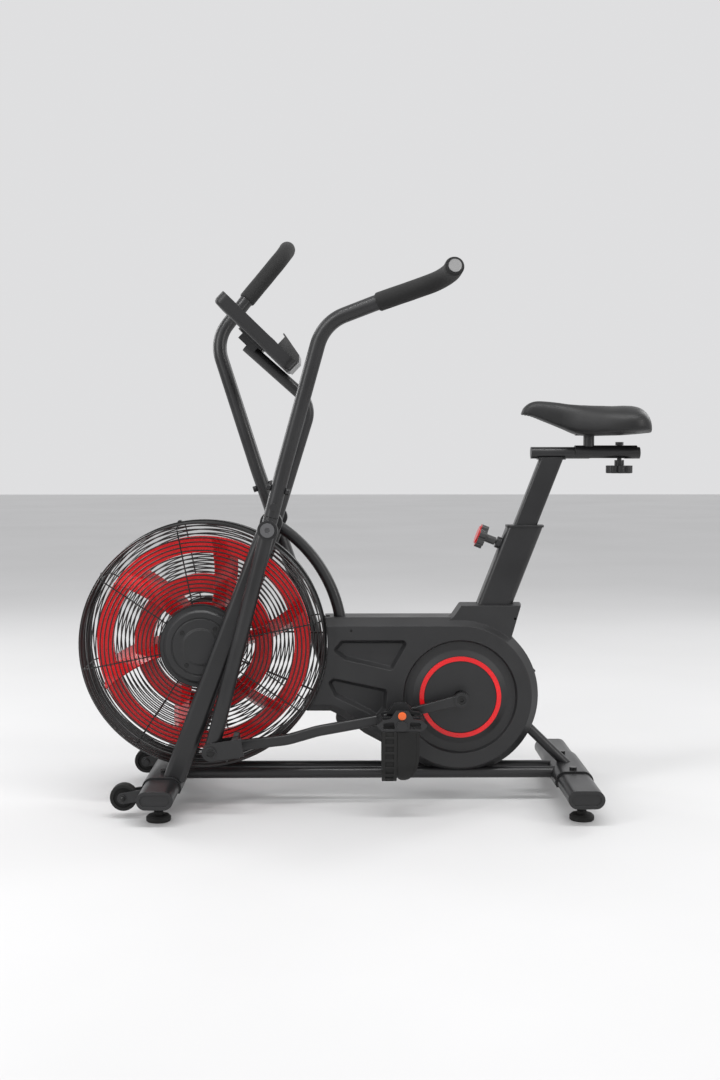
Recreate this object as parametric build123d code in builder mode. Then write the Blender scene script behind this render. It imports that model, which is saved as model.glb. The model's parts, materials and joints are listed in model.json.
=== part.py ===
"""Air bike: fan wheel, moving arms and crank on one floor frame.

Millimetres. +X runs from the fan to the saddle, +Z is up, and +Y is the rider's right.
The origin is the middle of the footprint, on the floor.
"""
from build123d import *
import os
from math import acos, asin, atan2, cos, degrees, hypot, radians, sin

os.makedirs("parts", exist_ok=True)

# ---- Driving dimensions ----
FAN = (-355.0, 352.0)  # fan axis, (X, Z)
CRANK = (210.0, 234.0)  # crank axis
PIVOT = (-205.0, 609.0)  # axis that both arms swing about
CRANK_LENGTH = 138.0
LOWER_ARM = 484.0  # arm pivot to rod joint
ROD_LENGTH = 407.0  # rod joint to crank pin
CRANK_ANGLE = 193.6  # left crank at rest, degrees from +X towards +Z

FRONT_X = -435.0  # front stabiliser
REAR_X = 455.0  # rear stabiliser
STABILISER_Z = 56.5
STABILISER_HALF = 250.0  # half length, end caps included
STABILISER_SIZE = (76.0, 38.0)
PLATE_SIZE = (84.0, 46.0)  # outside of the saddle plates that wrap the stabilisers
FRONT_PLATE_HALF = 142.0
REAR_PLATE_HALF = 97.0
RAIL_Y = 29.0
RAIL_Z = 62.5
RAIL_R = 12.5
FOOT_Y = 190.0
WHEEL = (-511.0, 45.0)
WHEEL_Y = 166.0

UPRIGHT_LEAN = 20.9
UPRIGHT_Y = (110.0, 135.0)
ARM_Y = 156.0
ARM_R = 16.0
ARM_HALF = 16.0  # half width of the sleeves at both ends of an arm
ROD_Y = (88.0, 102.0)
CRANK_Y = (70.0, 84.0)
PEDAL_Y = (106.0, 200.0)

SEAT_LEAN = 21.1
SEAT_TUBE_SIZE = (74.0, 44.0)
SEAT_TUBE_TOP = 606.0
POST_SIZE = (48.5, 28.0)
SEAT_RAIL_Z = 770.0
SEAT_RAIL_R = 13.0

HOUSING_LEFT = 48.0  # depth of the left half
HOUSING_RIGHT = 68.0  # the belt side is deeper
HOUSING_R = 174.0
WALL = 2.5

GUARD_R = 267.0
GUARD_HALF = 84.0
GUARD_CORNER = 22.0
WIRE_R = 1.5
GUARD_CUT = 273.0  # radius of the housing's hollow front edge
SPOKE_ANGLES = [11.3 + 45.0 * step for step in range(8)]

BELT_Y = (41.0, 51.0)
DRIVE_PULLEY_R = 121.7
FAN_PULLEY_R = 17.0
BELT_GAP = 0.4
BELT_THICKNESS = 3.0
AXLE_R = 10.0
RUNNING = 0.05  # radial clearance of a running fit


# ---- Helpers ----
def side(y):
    """The XZ plane at depth y: sketch x is X, sketch y is Z, and extrude goes towards -Y."""
    return Plane(origin=(0, y, 0), x_dir=(1, 0, 0), z_dir=(0, -1, 0))


def cross_bar(centre, y_from, y_to, radius, mode=Mode.ADD):
    """A round bar parallel to Y, added to or cut from the part being built."""
    middle = (centre[0], (y_from + y_to) / 2, centre[1])
    with Locations(Location(middle, (90, 0, 0))):
        Cylinder(radius, abs(y_to - y_from), mode=mode)


def lean_plane(base, lean, y=0.0, height=0.0):
    """A plane square to a line that leans back by lean degrees, height along it from base."""
    rise = (sin(radians(lean)), 0, cos(radians(lean)))
    origin = (base[0] + height * rise[0], y, base[1] + height * rise[2])
    return Plane(origin=origin, x_dir=(rise[2], 0, -rise[0]), z_dir=rise)


def along(base, lean, height, offset=0.0):
    """The (X, Z) point height up a leaning line from base, and offset square to it."""
    s, c = sin(radians(lean)), cos(radians(lean))
    return (base[0] + height * s + offset * c, base[1] + height * c - offset * s)


def polar(centre, radius, angle):
    """The (X, Z) point on a circle, angle in degrees from +X towards +Z."""
    return (centre[0] + radius * cos(radians(angle)), centre[1] + radius * sin(radians(angle)))


def space(point, y=0.0):
    return Vector(point[0], y, point[1])


def start_plane(route):
    """The plane square to the start of a path."""
    return Plane(origin=route.line @ 0, z_dir=route.line % 0)


def save(piece, name):
    piece.part.label = name
    export_step(piece.part, f"parts/{name}.step")


def save_group(pieces, name):
    """Write separate solids that share one node."""
    group = Compound(label=name, children=[piece.part for piece in pieces])
    export_step(group, f"parts/{name}.step")


def lean_of(lower, upper):
    return degrees(atan2(upper[0] - lower[0], upper[1] - lower[1]))


def rod_joint(pin):
    """Where the arm's lower end must be for the rod to reach a crank pin."""
    reach = hypot(pin[0] - PIVOT[0], pin[1] - PIVOT[1])
    corner = acos((LOWER_ARM**2 + reach**2 - ROD_LENGTH**2) / (2 * LOWER_ARM * reach))
    heading = atan2(pin[1] - PIVOT[1], pin[0] - PIVOT[0]) - corner
    return polar(PIVOT, LOWER_ARM, degrees(heading))


LEFT_PIN = polar(CRANK, CRANK_LENGTH, CRANK_ANGLE)
RIGHT_PIN = polar(CRANK, CRANK_LENGTH, CRANK_ANGLE - 180)
LEFT_JOINT = rod_joint(LEFT_PIN)
RIGHT_JOINT = rod_joint(RIGHT_PIN)
LEFT_LEAN = lean_of(LEFT_JOINT, PIVOT)
RIGHT_LEAN = lean_of(RIGHT_JOINT, PIVOT)


# ---- Floor frame ----
with BuildPart() as stabilisers:
    for x in (FRONT_X, REAR_X):
        with BuildSketch(side(STABILISER_HALF - 6)):
            with Locations((x, STABILISER_Z)):
                SlotOverall(*STABILISER_SIZE)
                SlotOverall(STABILISER_SIZE[0] - 6, STABILISER_SIZE[1] - 6, mode=Mode.SUBTRACT)
        extrude(amount=2 * (STABILISER_HALF - 6))
        with Locations([(x, y, STABILISER_Z - 18) for y in (-FOOT_Y, FOOT_Y)]):
            Cylinder(5 + RUNNING, 12, mode=Mode.SUBTRACT)
        bolt_y = 97 if x == FRONT_X else 78
        with Locations([(x, y, STABILISER_Z + 18) for y in (-bolt_y, bolt_y)]):
            Cylinder(4, 12, mode=Mode.SUBTRACT)
save(stabilisers, "stabilisers")

with BuildPart() as end_caps:
    for x in (FRONT_X, REAR_X):
        for end in (-1, 1):
            with BuildSketch(side(end * STABILISER_HALF)):
                with Locations((x, STABILISER_Z)):
                    SlotOverall(*STABILISER_SIZE)
            extrude(amount=end * 6)
            with BuildSketch(side(end * (STABILISER_HALF - 6))):
                with Locations((x, STABILISER_Z)):
                    SlotOverall(STABILISER_SIZE[0] - 6, STABILISER_SIZE[1] - 6)
            extrude(amount=end * 12)
            with BuildSketch(side(end * STABILISER_HALF)):
                with Locations((x, STABILISER_Z)):
                    SlotOverall(62, 24)
            extrude(amount=end * 3, mode=Mode.SUBTRACT)
save(end_caps, "stabiliser_end_caps")

with BuildPart() as base_plates:
    for x, half, bolt_y in ((FRONT_X, FRONT_PLATE_HALF, 97), (REAR_X, REAR_PLATE_HALF, 78)):
        with BuildSketch(side(half)):
            with Locations((x, STABILISER_Z)):
                SlotOverall(*PLATE_SIZE)
                SlotOverall(*STABILISER_SIZE, mode=Mode.SUBTRACT)
            with Locations((x, STABILISER_Z - 12)):
                Rectangle(PLATE_SIZE[0], 24, align=(Align.CENTER, Align.MAX), mode=Mode.SUBTRACT)
        extrude(amount=2 * half)
        with Locations([(x, y, STABILISER_Z + 18) for y in (-bolt_y, bolt_y)]):
            Cylinder(4, 16, mode=Mode.SUBTRACT)
save(base_plates, "base_plates")

with BuildPart() as base_rails:
    with BuildSketch(Plane.YZ.offset(FRONT_X)):
        with Locations((-RAIL_Y, RAIL_Z), (RAIL_Y, RAIL_Z)):
            Circle(RAIL_R)
            Circle(RAIL_R - 2, mode=Mode.SUBTRACT)
    extrude(amount=REAR_X - FRONT_X)
    with BuildSketch(side(60)):
        with Locations((FRONT_X, STABILISER_Z), (REAR_X, STABILISER_Z)):
            SlotOverall(*PLATE_SIZE)
    extrude(amount=120, mode=Mode.SUBTRACT)
save(base_rails, "base_rails")

with BuildPart() as uprights:
    for way in (-1, 1):
        middle_y = way * sum(UPRIGHT_Y) / 2
        with BuildSketch(lean_plane(PIVOT, UPRIGHT_LEAN, middle_y, -610)):
            SlotOverall(47, 25)
            SlotOverall(43, 21, mode=Mode.SUBTRACT)
        extrude(amount=575)
        with BuildSketch(lean_plane(PIVOT, UPRIGHT_LEAN, middle_y, -35)):
            SlotOverall(47, 25)
        extrude(amount=50)
        cross_bar(along(PIVOT, UPRIGHT_LEAN, 15), way * UPRIGHT_Y[0], way * UPRIGHT_Y[1], 23.5)
        cross_bar(PIVOT, way * 105, way * 140, AXLE_R, Mode.SUBTRACT)
        block_x = along(PIVOT, UPRIGHT_LEAN, -275)[0]
        with BuildSketch(side(way * 76)):
            SlotCenterPoint(((FAN[0] + block_x) / 2, FAN[1]), FAN, 32)
        extrude(amount=way * 6)
        with Locations((block_x, way * 93.5, FAN[1])):
            Box(20, 35, 30)
        cross_bar(FAN, way * 60, way * 90, 8, Mode.SUBTRACT)
    with BuildSketch(side(150)):
        with Locations((FRONT_X, STABILISER_Z)):
            SlotOverall(*PLATE_SIZE)
        with Locations((FRONT_X, 66)):
            Rectangle(150, 60, align=(Align.CENTER, Align.MAX))
    extrude(amount=300, mode=Mode.SUBTRACT)
save(uprights, "uprights")

with BuildPart() as pivot_axle:
    cross_bar(PIVOT, -172.5, 172.5, AXLE_R)
    for way in (-1, 1):
        cross_bar(PIVOT, way * UPRIGHT_Y[1], way * 139.6, 16)
        cross_bar(PIVOT, way * 172.4, way * 178, 15)
        with BuildSketch(side(way * 178)):
            with Locations(PIVOT):
                RegularPolygon(6, 6)
        extrude(amount=way * 3.5, mode=Mode.SUBTRACT)
save(pivot_axle, "pivot_axle")

SPINE_R = 305.0
SPINE_BEND = 70.0
bend_centre = (FAN[0] + SPINE_R + SPINE_BEND, FAN[1])
to_crank = hypot(CRANK[0] - bend_centre[0], CRANK[1] - bend_centre[1])
fall = atan2(CRANK[1] - bend_centre[1], CRANK[0] - bend_centre[0]) + asin(SPINE_BEND / to_crank)
bend_end = polar(bend_centre, SPINE_BEND, 270 + degrees(fall))
with BuildPart() as frame_spine:
    with BuildLine() as spine_route:
        ThreePointArc(*[space(polar(FAN, SPINE_R, angle)) for angle in (57, 28, 0)])
        TangentArc(space(polar(FAN, SPINE_R, 0)), space(bend_end), tangent=(0, 0, -1))
        Line(space(bend_end), space(CRANK))
    with BuildSketch(start_plane(spine_route)):
        Circle(12.5)
        Circle(10.5, mode=Mode.SUBTRACT)
    sweep()
    cross_bar(PIVOT, -UPRIGHT_Y[0], UPRIGHT_Y[0], 17)
    cross_bar(PIVOT, -UPRIGHT_Y[0], UPRIGHT_Y[0], AXLE_R, Mode.SUBTRACT)
    cross_bar(CRANK, -40, 40, 24, Mode.SUBTRACT)
save(frame_spine, "frame_spine")

with BuildPart() as bottom_bracket:
    with Locations((CRANK[0], 0, 150)):
        Box(44, 44, 140)
    with Locations((CRANK[0], 0, 75)):
        Box(76, 56, 10)
    cross_bar(CRANK, -33, 33, 24)
    cross_bar(CRANK, -33, 33, 17.5, Mode.SUBTRACT)
    with BuildSketch(Plane.YZ.offset(150)):
        with Locations((-RAIL_Y, RAIL_Z), (RAIL_Y, RAIL_Z)):
            Circle(RAIL_R)
    extrude(amount=120, mode=Mode.SUBTRACT)

with BuildPart() as crank_bearings:
    for way in (-1, 1):
        cross_bar(CRANK, way * 19, way * 32, 17.5)
    cross_bar(CRANK, -40, 40, AXLE_R + RUNNING, Mode.SUBTRACT)
save_group([bottom_bracket, crank_bearings], "bottom_bracket")

strut_end = (REAR_X, 71.0)
strut_start = (250.0, 271.0)
strut_rise = degrees(atan2(strut_end[0] - strut_start[0], strut_end[1] - strut_start[1]))
strut_length = hypot(strut_end[0] - strut_start[0], strut_end[1] - strut_start[1])
with BuildPart() as rear_strut:
    with BuildSketch(lean_plane(strut_start, strut_rise)):
        Circle(11)
        Circle(9, mode=Mode.SUBTRACT)
    extrude(amount=strut_length)
    with BuildSketch(side(40)):
        with Locations((REAR_X, STABILISER_Z)):
            SlotOverall(*PLATE_SIZE)
    extrude(amount=80, mode=Mode.SUBTRACT)
    with BuildSketch(lean_plane(CRANK, SEAT_LEAN)):
        RectangleRounded(*SEAT_TUBE_SIZE, 12)
    extrude(amount=400, mode=Mode.SUBTRACT)
save(rear_strut, "rear_strut")

with BuildPart() as wheel_brackets:
    for way in (-1, 1):
        for cheek in (-15, 15):
            with BuildSketch(side(way * WHEEL_Y + cheek + 2)):
                SlotCenterPoint(((WHEEL[0] + FRONT_X - 24) / 2, 49), WHEEL, 24)
            extrude(amount=4)
        cross_bar(WHEEL, way * WHEEL_Y - 21, way * WHEEL_Y + 21, 4)
        for end in (-1, 1):
            bolt_end = way * WHEEL_Y + end * 17
            cross_bar(WHEEL, bolt_end, bolt_end + end * 5, 7)
    with BuildSketch(side(260)):
        with Locations((FRONT_X, STABILISER_Z)):
            SlotOverall(*STABILISER_SIZE)
    extrude(amount=520, mode=Mode.SUBTRACT)
save(wheel_brackets, "wheel_brackets")

for way, name in ((-1, "left_transport_wheel"), (1, "right_transport_wheel")):
    with BuildPart() as wheel:
        cross_bar(WHEEL, way * WHEEL_Y - 11, way * WHEEL_Y + 11, 28.7)
        fillet(wheel.edges().filter_by(GeomType.CIRCLE), 3)
        for end in (-1, 1):
            face_y = way * WHEEL_Y + end * 11
            with BuildSketch(side(face_y)):
                with Locations(WHEEL):
                    Circle(21)
                    Circle(9, mode=Mode.SUBTRACT)
            extrude(amount=end * 4, mode=Mode.SUBTRACT)
        cross_bar(WHEEL, way * WHEEL_Y - 12, way * WHEEL_Y + 12, 4 + RUNNING, Mode.SUBTRACT)
    save(wheel, name)

FOOT_PLACES = {
    "front_left_foot": (FRONT_X, -FOOT_Y),
    "front_right_foot": (FRONT_X, FOOT_Y),
    "rear_left_foot": (REAR_X, -FOOT_Y),
    "rear_right_foot": (REAR_X, FOOT_Y),
}
for name, (x, y) in FOOT_PLACES.items():
    with BuildPart() as foot:
        with BuildSketch(Plane(origin=(x, y, 0), x_dir=(1, 0, 0), z_dir=(0, -1, 0))):
            with BuildLine():
                Polyline((0, 0), (24, 0), (26, 2), (26, 9), (22, 13), (10, 14))
                Polyline((10, 14), (10, 20), (5, 20), (5, 60), (0, 60), (0, 0))
            make_face()
        revolve(axis=Axis((x, y, 0), (0, 0, 1)))
    save(foot, name)

# ---- Seat tube and its collar ----
PIN_HEIGHT = 346.0  # pull pin, up the seat tube from the crank
pin_base = along(CRANK, SEAT_LEAN, PIN_HEIGHT, -SEAT_TUBE_SIZE[0] / 2)
pin_out = (-cos(radians(SEAT_LEAN)), 0, sin(radians(SEAT_LEAN)))
PIN_PLANE = Plane(origin=space(pin_base), z_dir=pin_out)
with BuildPart() as seat_tube:
    with BuildSketch(lean_plane(CRANK, SEAT_LEAN, 0, 44)):
        RectangleRounded(*SEAT_TUBE_SIZE, 12)
        RectangleRounded(SEAT_TUBE_SIZE[0] - 5, SEAT_TUBE_SIZE[1] - 5, 9.5, mode=Mode.SUBTRACT)
    extrude(amount=400)
    with BuildSketch(lean_plane(CRANK, SEAT_LEAN, 0, 40)):
        RectangleRounded(*SEAT_TUBE_SIZE, 12)
    extrude(amount=4)
    with BuildSketch(lean_plane(CRANK, SEAT_LEAN)):
        RectangleRounded(40, 40, 6)
    extrude(amount=40)
    cross_bar(CRANK, -40, 40, 24, Mode.SUBTRACT)
    with Locations(PIN_PLANE):
        Cylinder(13, 18)
        Cylinder(5 + RUNNING, 60, mode=Mode.SUBTRACT)
    with BuildSketch(lean_plane(CRANK, SEAT_LEAN, 0, 44)):
        RectangleRounded(SEAT_TUBE_SIZE[0] - 5, SEAT_TUBE_SIZE[1] - 5, 9.5)
    extrude(amount=400, mode=Mode.SUBTRACT)
    with Locations((CRANK[0] + 130, 0, SEAT_TUBE_TOP)):
        Box(300, 100, 200, align=(Align.CENTER, Align.CENTER, Align.MIN), mode=Mode.SUBTRACT)
save(seat_tube, "seat_tube")

with BuildPart() as seat_collar:
    with BuildSketch(lean_plane(CRANK, SEAT_LEAN, 0, 300)):
        RectangleRounded(SEAT_TUBE_SIZE[0] - 5, SEAT_TUBE_SIZE[1] - 5, 9.5)
    extrude(amount=140)
    with Locations((CRANK[0] + 130, 0, SEAT_TUBE_TOP)):
        Box(300, 100, 200, align=(Align.CENTER, Align.CENTER, Align.MIN), mode=Mode.SUBTRACT)
    rim = along(CRANK, SEAT_LEAN, (SEAT_TUBE_TOP - CRANK[1]) / cos(radians(SEAT_LEAN)))
    with BuildSketch(Plane.XY.offset(SEAT_TUBE_TOP)):
        with Locations((rim[0] + 1, 0)):
            RectangleRounded(SEAT_TUBE_SIZE[0] + 9, SEAT_TUBE_SIZE[1] + 4, 14)
    extrude(amount=5)
    with BuildSketch(lean_plane(CRANK, SEAT_LEAN, 0, 290)):
        RectangleRounded(POST_SIZE[0] + 0.2, POST_SIZE[1] + 0.2, 7.1)
    extrude(amount=160, mode=Mode.SUBTRACT)
    with Locations(PIN_PLANE):
        Cylinder(5 + RUNNING, 60, mode=Mode.SUBTRACT)
save(seat_collar, "seat_tube_collar")

with BuildPart() as seat_post:
    with BuildSketch(lean_plane(CRANK, SEAT_LEAN, 0, 172)):
        RectangleRounded(*POST_SIZE, 7)
        RectangleRounded(POST_SIZE[0] - 5, POST_SIZE[1] - 5, 4.5, mode=Mode.SUBTRACT)
    extrude(amount=410)
    with Locations((CRANK[0] + 200, 0, SEAT_RAIL_Z - 10)):
        Box(200, 100, 100, align=(Align.CENTER, Align.CENTER, Align.MIN), mode=Mode.SUBTRACT)
    top = along(CRANK, SEAT_LEAN, (SEAT_RAIL_Z - 15 - CRANK[1]) / cos(radians(SEAT_LEAN)))
    with Locations((top[0] + 1, 0, SEAT_RAIL_Z - 13)):
        Box(POST_SIZE[0] + 12, POST_SIZE[1], 4)
    with BuildSketch(Plane.YZ.offset(367)):
        with Locations((0, SEAT_RAIL_Z)):
            Circle(SEAT_RAIL_R)
    extrude(amount=240.5)
    with BuildSketch(Plane.YZ.offset(372)):
        with Locations((0, SEAT_RAIL_Z)):
            Circle(SEAT_RAIL_R - 2)
    extrude(amount=230.5, mode=Mode.SUBTRACT)
    with BuildSketch(Plane.XY.offset(SEAT_RAIL_Z - 20)):
        with Locations((535.5, 0)):
            SlotOverall(82, 10.8)
    extrude(amount=40, mode=Mode.SUBTRACT)
save(seat_post, "seat_post")

KNOB_X = 563.0
STEM_X = 495.0
with BuildPart() as carriage:
    with BuildSketch(Plane.YZ.offset(464)):
        with Locations((0, SEAT_RAIL_Z)):
            Circle(16.5)
            Circle(SEAT_RAIL_R + RUNNING, mode=Mode.SUBTRACT)
        with Locations((0, SEAT_RAIL_Z - 4)):
            Rectangle(40, 20, align=(Align.CENTER, Align.MAX), mode=Mode.SUBTRACT)
    extrude(amount=137)
    with Locations((STEM_X, 0, 797)):
        Cylinder(12, 26)
    with Locations((STEM_X, 0, 810)):
        Cylinder(15, 4)
        Box(60, 14, 4)
    with BuildSketch(Plane.YZ.offset(464)):
        with Locations((0, SEAT_RAIL_Z)):
            Circle(SEAT_RAIL_R + RUNNING)
    extrude(amount=137, mode=Mode.SUBTRACT)
    with Locations((KNOB_X, 0, SEAT_RAIL_Z)):
        Cylinder(5 + RUNNING, 60, mode=Mode.SUBTRACT)
save(carriage, "seat_carriage")

with BuildPart() as seat_knob:
    with BuildSketch(Plane.XY.offset(725)):
        with Locations((KNOB_X, 0)):
            Circle(24)
            with PolarLocations(20, 8):
                Circle(9.5)
    extrude(amount=17)
    fillet(seat_knob.edges().group_by(Axis.Z)[0], 2)
    with Locations((KNOB_X, 0, 748)):
        Cylinder(10.5, 12)
    with Locations((KNOB_X, 0, 765)):
        Cylinder(5, 50)
    with BuildSketch(Plane.XY.offset(786.8)):
        with Locations((KNOB_X, 0)):
            RegularPolygon(9, 6)
    extrude(amount=7)
save(seat_knob, "seat_clamp_knob")

with BuildPart() as pin_knob:
    with Locations(PIN_PLANE):
        with Locations((0, 0, 12.5)):
            Cylinder(5, 47)
        with Locations((0, 0, 24)):
            Cylinder(9, 24)
        with Locations((0, 0, 44)):
            Cylinder(22, 16)
            with PolarLocations(19, 7):
                Cylinder(8, 16)

with BuildPart() as pin_cap:
    with Locations(PIN_PLANE):
        with Locations((0, 0, 53.5)):
            Cylinder(20, 3)
save_group([pin_knob, pin_cap], "seat_pin_knob")

with BuildPart() as saddle:
    with BuildSketch(Plane.XY.offset(SEAT_RAIL_Z)):
        with Locations((368, 0)):
            Circle(23)
        with Locations((565, -36), (565, 36)):
            Circle(61)
        make_hull()
    extrude(amount=120)
    with BuildSketch(side(100)):
        with BuildLine():
            Polyline((345, 856), (352, 868), (368, 880), (386, 883), (493, 872), (592, 872))
            ThreePointArc((592, 872), (617, 859), (627, 835))
            Polyline((627, 835), (624, 817), (506, 812), (466, 812), (345, 856))
        make_face()
    extrude(amount=200, mode=Mode.INTERSECT)
save(saddle, "saddle")

# ---- Housing ----
TAPER_DEPTH = 22.0
TAPER_INSET = 17.0


def housing_outline(inset=0.0):
    """Outline of the belt housing, in the part's sketch, drawn smaller by inset."""
    radius = HOUSING_R - inset
    floor_line = CRANK[1] - 34 + inset
    slope = radians(-28.3)
    foot = polar(CRANK, radius, -28.3 - 90)
    run = (foot[1] + 12 - (162 + inset)) / sin(slope) * -1
    shoulder = (foot[0] - abs(run) * cos(slope), foot[1] + abs(run) * abs(sin(slope)))
    with BuildLine() as edge:
        Polyline(
            (CRANK[0], CRANK[1] + radius),
            (-190 + inset, CRANK[1] + radius),
            (-190 + inset, floor_line),
            (-76, floor_line),
            (-50, floor_line - 12),
            shoulder,
            foot,
        )
        ThreePointArc(foot, (CRANK[0] + radius, CRANK[1]), (CRANK[0], CRANK[1] + radius))
    return edge


def housing_blank(depth, inset=0.0):
    """The solid outer form of one half, or with an inset its cavity."""
    with BuildPart() as blank:
        with BuildSketch(side(0)):
            with BuildLine():
                add(housing_outline(inset).line)
            make_face()
        extrude(amount=depth - TAPER_DEPTH)
        with BuildSketch(side(-(depth - TAPER_DEPTH))):
            with BuildLine():
                add(housing_outline(inset).line)
            make_face()
        extrude(amount=TAPER_DEPTH - inset, taper=degrees(atan2(TAPER_INSET, TAPER_DEPTH)))
        with BuildSketch(side(0)):
            with BuildLine():
                FilletPolyline(
                    (140, 300),
                    (150, 380),
                    (193 + inset, 414),
                    (210 + inset, 439 - inset),
                    (350 - inset, 439 - inset),
                    (328 - inset, 362),
                    (300, 300),
                    radius=6,
                    close=True,
                )
            make_face()
        extrude(amount=34 - inset, taper=8)
        cross_bar(FAN, 10, -depth - 10, GUARD_CUT + inset, Mode.SUBTRACT)
    return blank


def recess(points, radius, depth, plane_y, grow=0.0):
    """A tapered solid under a rounded outline, to cut as a recess or to keep as its backing."""
    with BuildPart() as form:
        with BuildSketch(side(-plane_y)):
            with BuildLine():
                FilletPolyline(*points, radius=radius, close=True)
            make_face()
            if grow:
                offset(amount=grow)
        extrude(amount=-depth, taper=0 if grow else 32)
    return form


UPPER_RECESS = [(-72, 336), (-52, 360), (98, 360), (60, 292), (-43, 316)]
LOWER_RECESS = [(-82, 266), (-70, 277), (50, 251), (47, 208), (28, 183), (8, 198), (-66, 234)]
RECESS_DEPTH = 13.0


def housing_half(depth, belt_slot):
    """One half of the belt housing, built on the -Y side."""
    blank = housing_blank(depth)
    cavity = housing_blank(depth, WALL)
    upper = recess(UPPER_RECESS, 9, RECESS_DEPTH, depth)
    lower = recess(LOWER_RECESS, 9, RECESS_DEPTH, depth)
    upper_back = recess(UPPER_RECESS, 9, RECESS_DEPTH + WALL, depth, WALL)
    lower_back = recess(LOWER_RECESS, 9, RECESS_DEPTH + WALL, depth, WALL)
    with BuildPart() as dish:
        with BuildSketch(Plane(origin=(CRANK[0], 0, CRANK[1]), x_dir=(1, 0, 0), z_dir=(0, 0, 1))):
            with BuildLine():
                Polyline((80, -depth - 1), (128, -depth - 1), (126, -depth), (122, -depth + 9))
                Polyline((122, -depth + 9), (104, -depth + 8), (90.5, -depth + 2))
                Polyline((90.5, -depth + 2), (80, -depth + 2), (80, -depth - 1))
            make_face()
        revolve(axis=Axis((CRANK[0], 0, CRANK[1]), (0, 1, 0)))
    with BuildPart() as hollow:
        add(cavity.part)
        cross_bar(CRANK, -depth, -depth + 11.5, 130, Mode.SUBTRACT)
        add(upper_back.part, mode=Mode.SUBTRACT)
        add(lower_back.part, mode=Mode.SUBTRACT)
    with BuildPart() as half:
        add(blank.part)
        add(dish.part, mode=Mode.SUBTRACT)
        add(upper.part, mode=Mode.SUBTRACT)
        add(lower.part, mode=Mode.SUBTRACT)
        add(hollow.part, mode=Mode.SUBTRACT)
        cross_bar(CRANK, 5, -depth - 5, 14, Mode.SUBTRACT)
        with BuildSketch(Plane.YZ.offset(60)):
            with Locations((-RAIL_Y, RAIL_Z)):
                Circle(RAIL_R + 1)
                Rectangle(2 * RAIL_R + 2, 30, align=(Align.CENTER, Align.MAX))
        extrude(amount=300, mode=Mode.SUBTRACT)
        with BuildSketch(lean_plane(CRANK, SEAT_LEAN, 0, 150)):
            RectangleRounded(SEAT_TUBE_SIZE[0] + 1, SEAT_TUBE_SIZE[1] + 1, 12.5)
        extrude(amount=200, mode=Mode.SUBTRACT)
        with BuildSketch(lean_plane(strut_start, strut_rise, 0, 100)):
            Circle(11.6)
        extrude(amount=120, mode=Mode.SUBTRACT)
        with Locations(Location((FAN[0] + SPINE_R - 5.5, 0, CRANK[1] + HOUSING_R), (0, -10.6, 0))):
            Cylinder(13.5, 40, mode=Mode.SUBTRACT)
        for angle in (SPOKE_ANGLES[0], SPOKE_ANGLES[7]):
            cross_bar(polar(FAN, 271, angle), -13, 5, 12, Mode.SUBTRACT)
        for place in HOUSING_SCREWS:
            cross_bar(place, -depth - 2, -depth + 60, 2.5, Mode.SUBTRACT)
        if belt_slot:
            with Locations((FAN[0] + GUARD_CUT, -sum(BELT_Y) / 2, 300)):
                Box(70, 18, 190, mode=Mode.SUBTRACT)
    return half


HOUSING_SCREWS = [(-30, 381), (331, 405)]
left_half = housing_half(HOUSING_LEFT, belt_slot=False)
save(left_half, "left_housing")

right_blank = housing_half(HOUSING_RIGHT, belt_slot=True)
with BuildPart() as right_half:
    add(mirror(right_blank.part, about=Plane.XZ, mode=Mode.PRIVATE))
save(right_half, "right_housing")

with BuildPart() as trim_rings:
    for way, depth in ((-1, HOUSING_LEFT), (1, HOUSING_RIGHT)):
        cross_bar(CRANK, way * (depth - 2), way * (depth + 1.5), 89.8)
    cross_bar(CRANK, -100, 100, 80, Mode.SUBTRACT)
save(trim_rings, "trim_rings")


# ---- Fan guard ----
GAP_END = 12.0  # angle at which the belt's gap in a ring ends


def guard_ring(radius, y, gap=0.0):
    """One six-sided wire ring about the fan axis; with a gap it stops short on the housing's side."""
    c, s = cos(radians(GAP_END)), sin(radians(GAP_END))
    with BuildSketch(Plane(origin=(FAN[0], y, FAN[1]), x_dir=(c, 0, s), z_dir=(-s, 0, c))) as section:
        with Locations((radius, 0)):
            RegularPolygon(WIRE_R, 6)
    axis = Axis((FAN[0], y, FAN[1]), (0, -1, 0))
    revolve(section.sketch, axis=axis, revolution_arc=360 - gap)


def guard_spoke(angle, way):
    """One six-sided wire that runs from the hub over the corner to the rim, inside the rings."""
    inner = GUARD_CORNER - 2 * WIRE_R - 0.4
    flat_r = GUARD_R - GUARD_CORNER
    corner_y = GUARD_HALF - GUARD_CORNER
    bend = polar((0, 0), inner, 45)
    with BuildLine() as route:
        points = [(90, corner_y + inner), (flat_r, corner_y + inner)]
        points += [(flat_r + bend[0], corner_y + bend[1]), (flat_r + inner, corner_y)]
        points += [(flat_r + inner, 5)]
        spots = [space(polar(FAN, r, angle), way * y) for r, y in points]
        Line(spots[0], spots[1])
        ThreePointArc(*spots[1:4])
        Line(spots[3], spots[4])
    with BuildSketch(start_plane(route)) as section:
        RegularPolygon(WIRE_R, 6)
    sweep(section.sketch, path=route.wire())


FACE_RINGS = 18
SIDE_RING_Y = [56.0, 45.0, 34.0, 23.0, 12.0]


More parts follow.
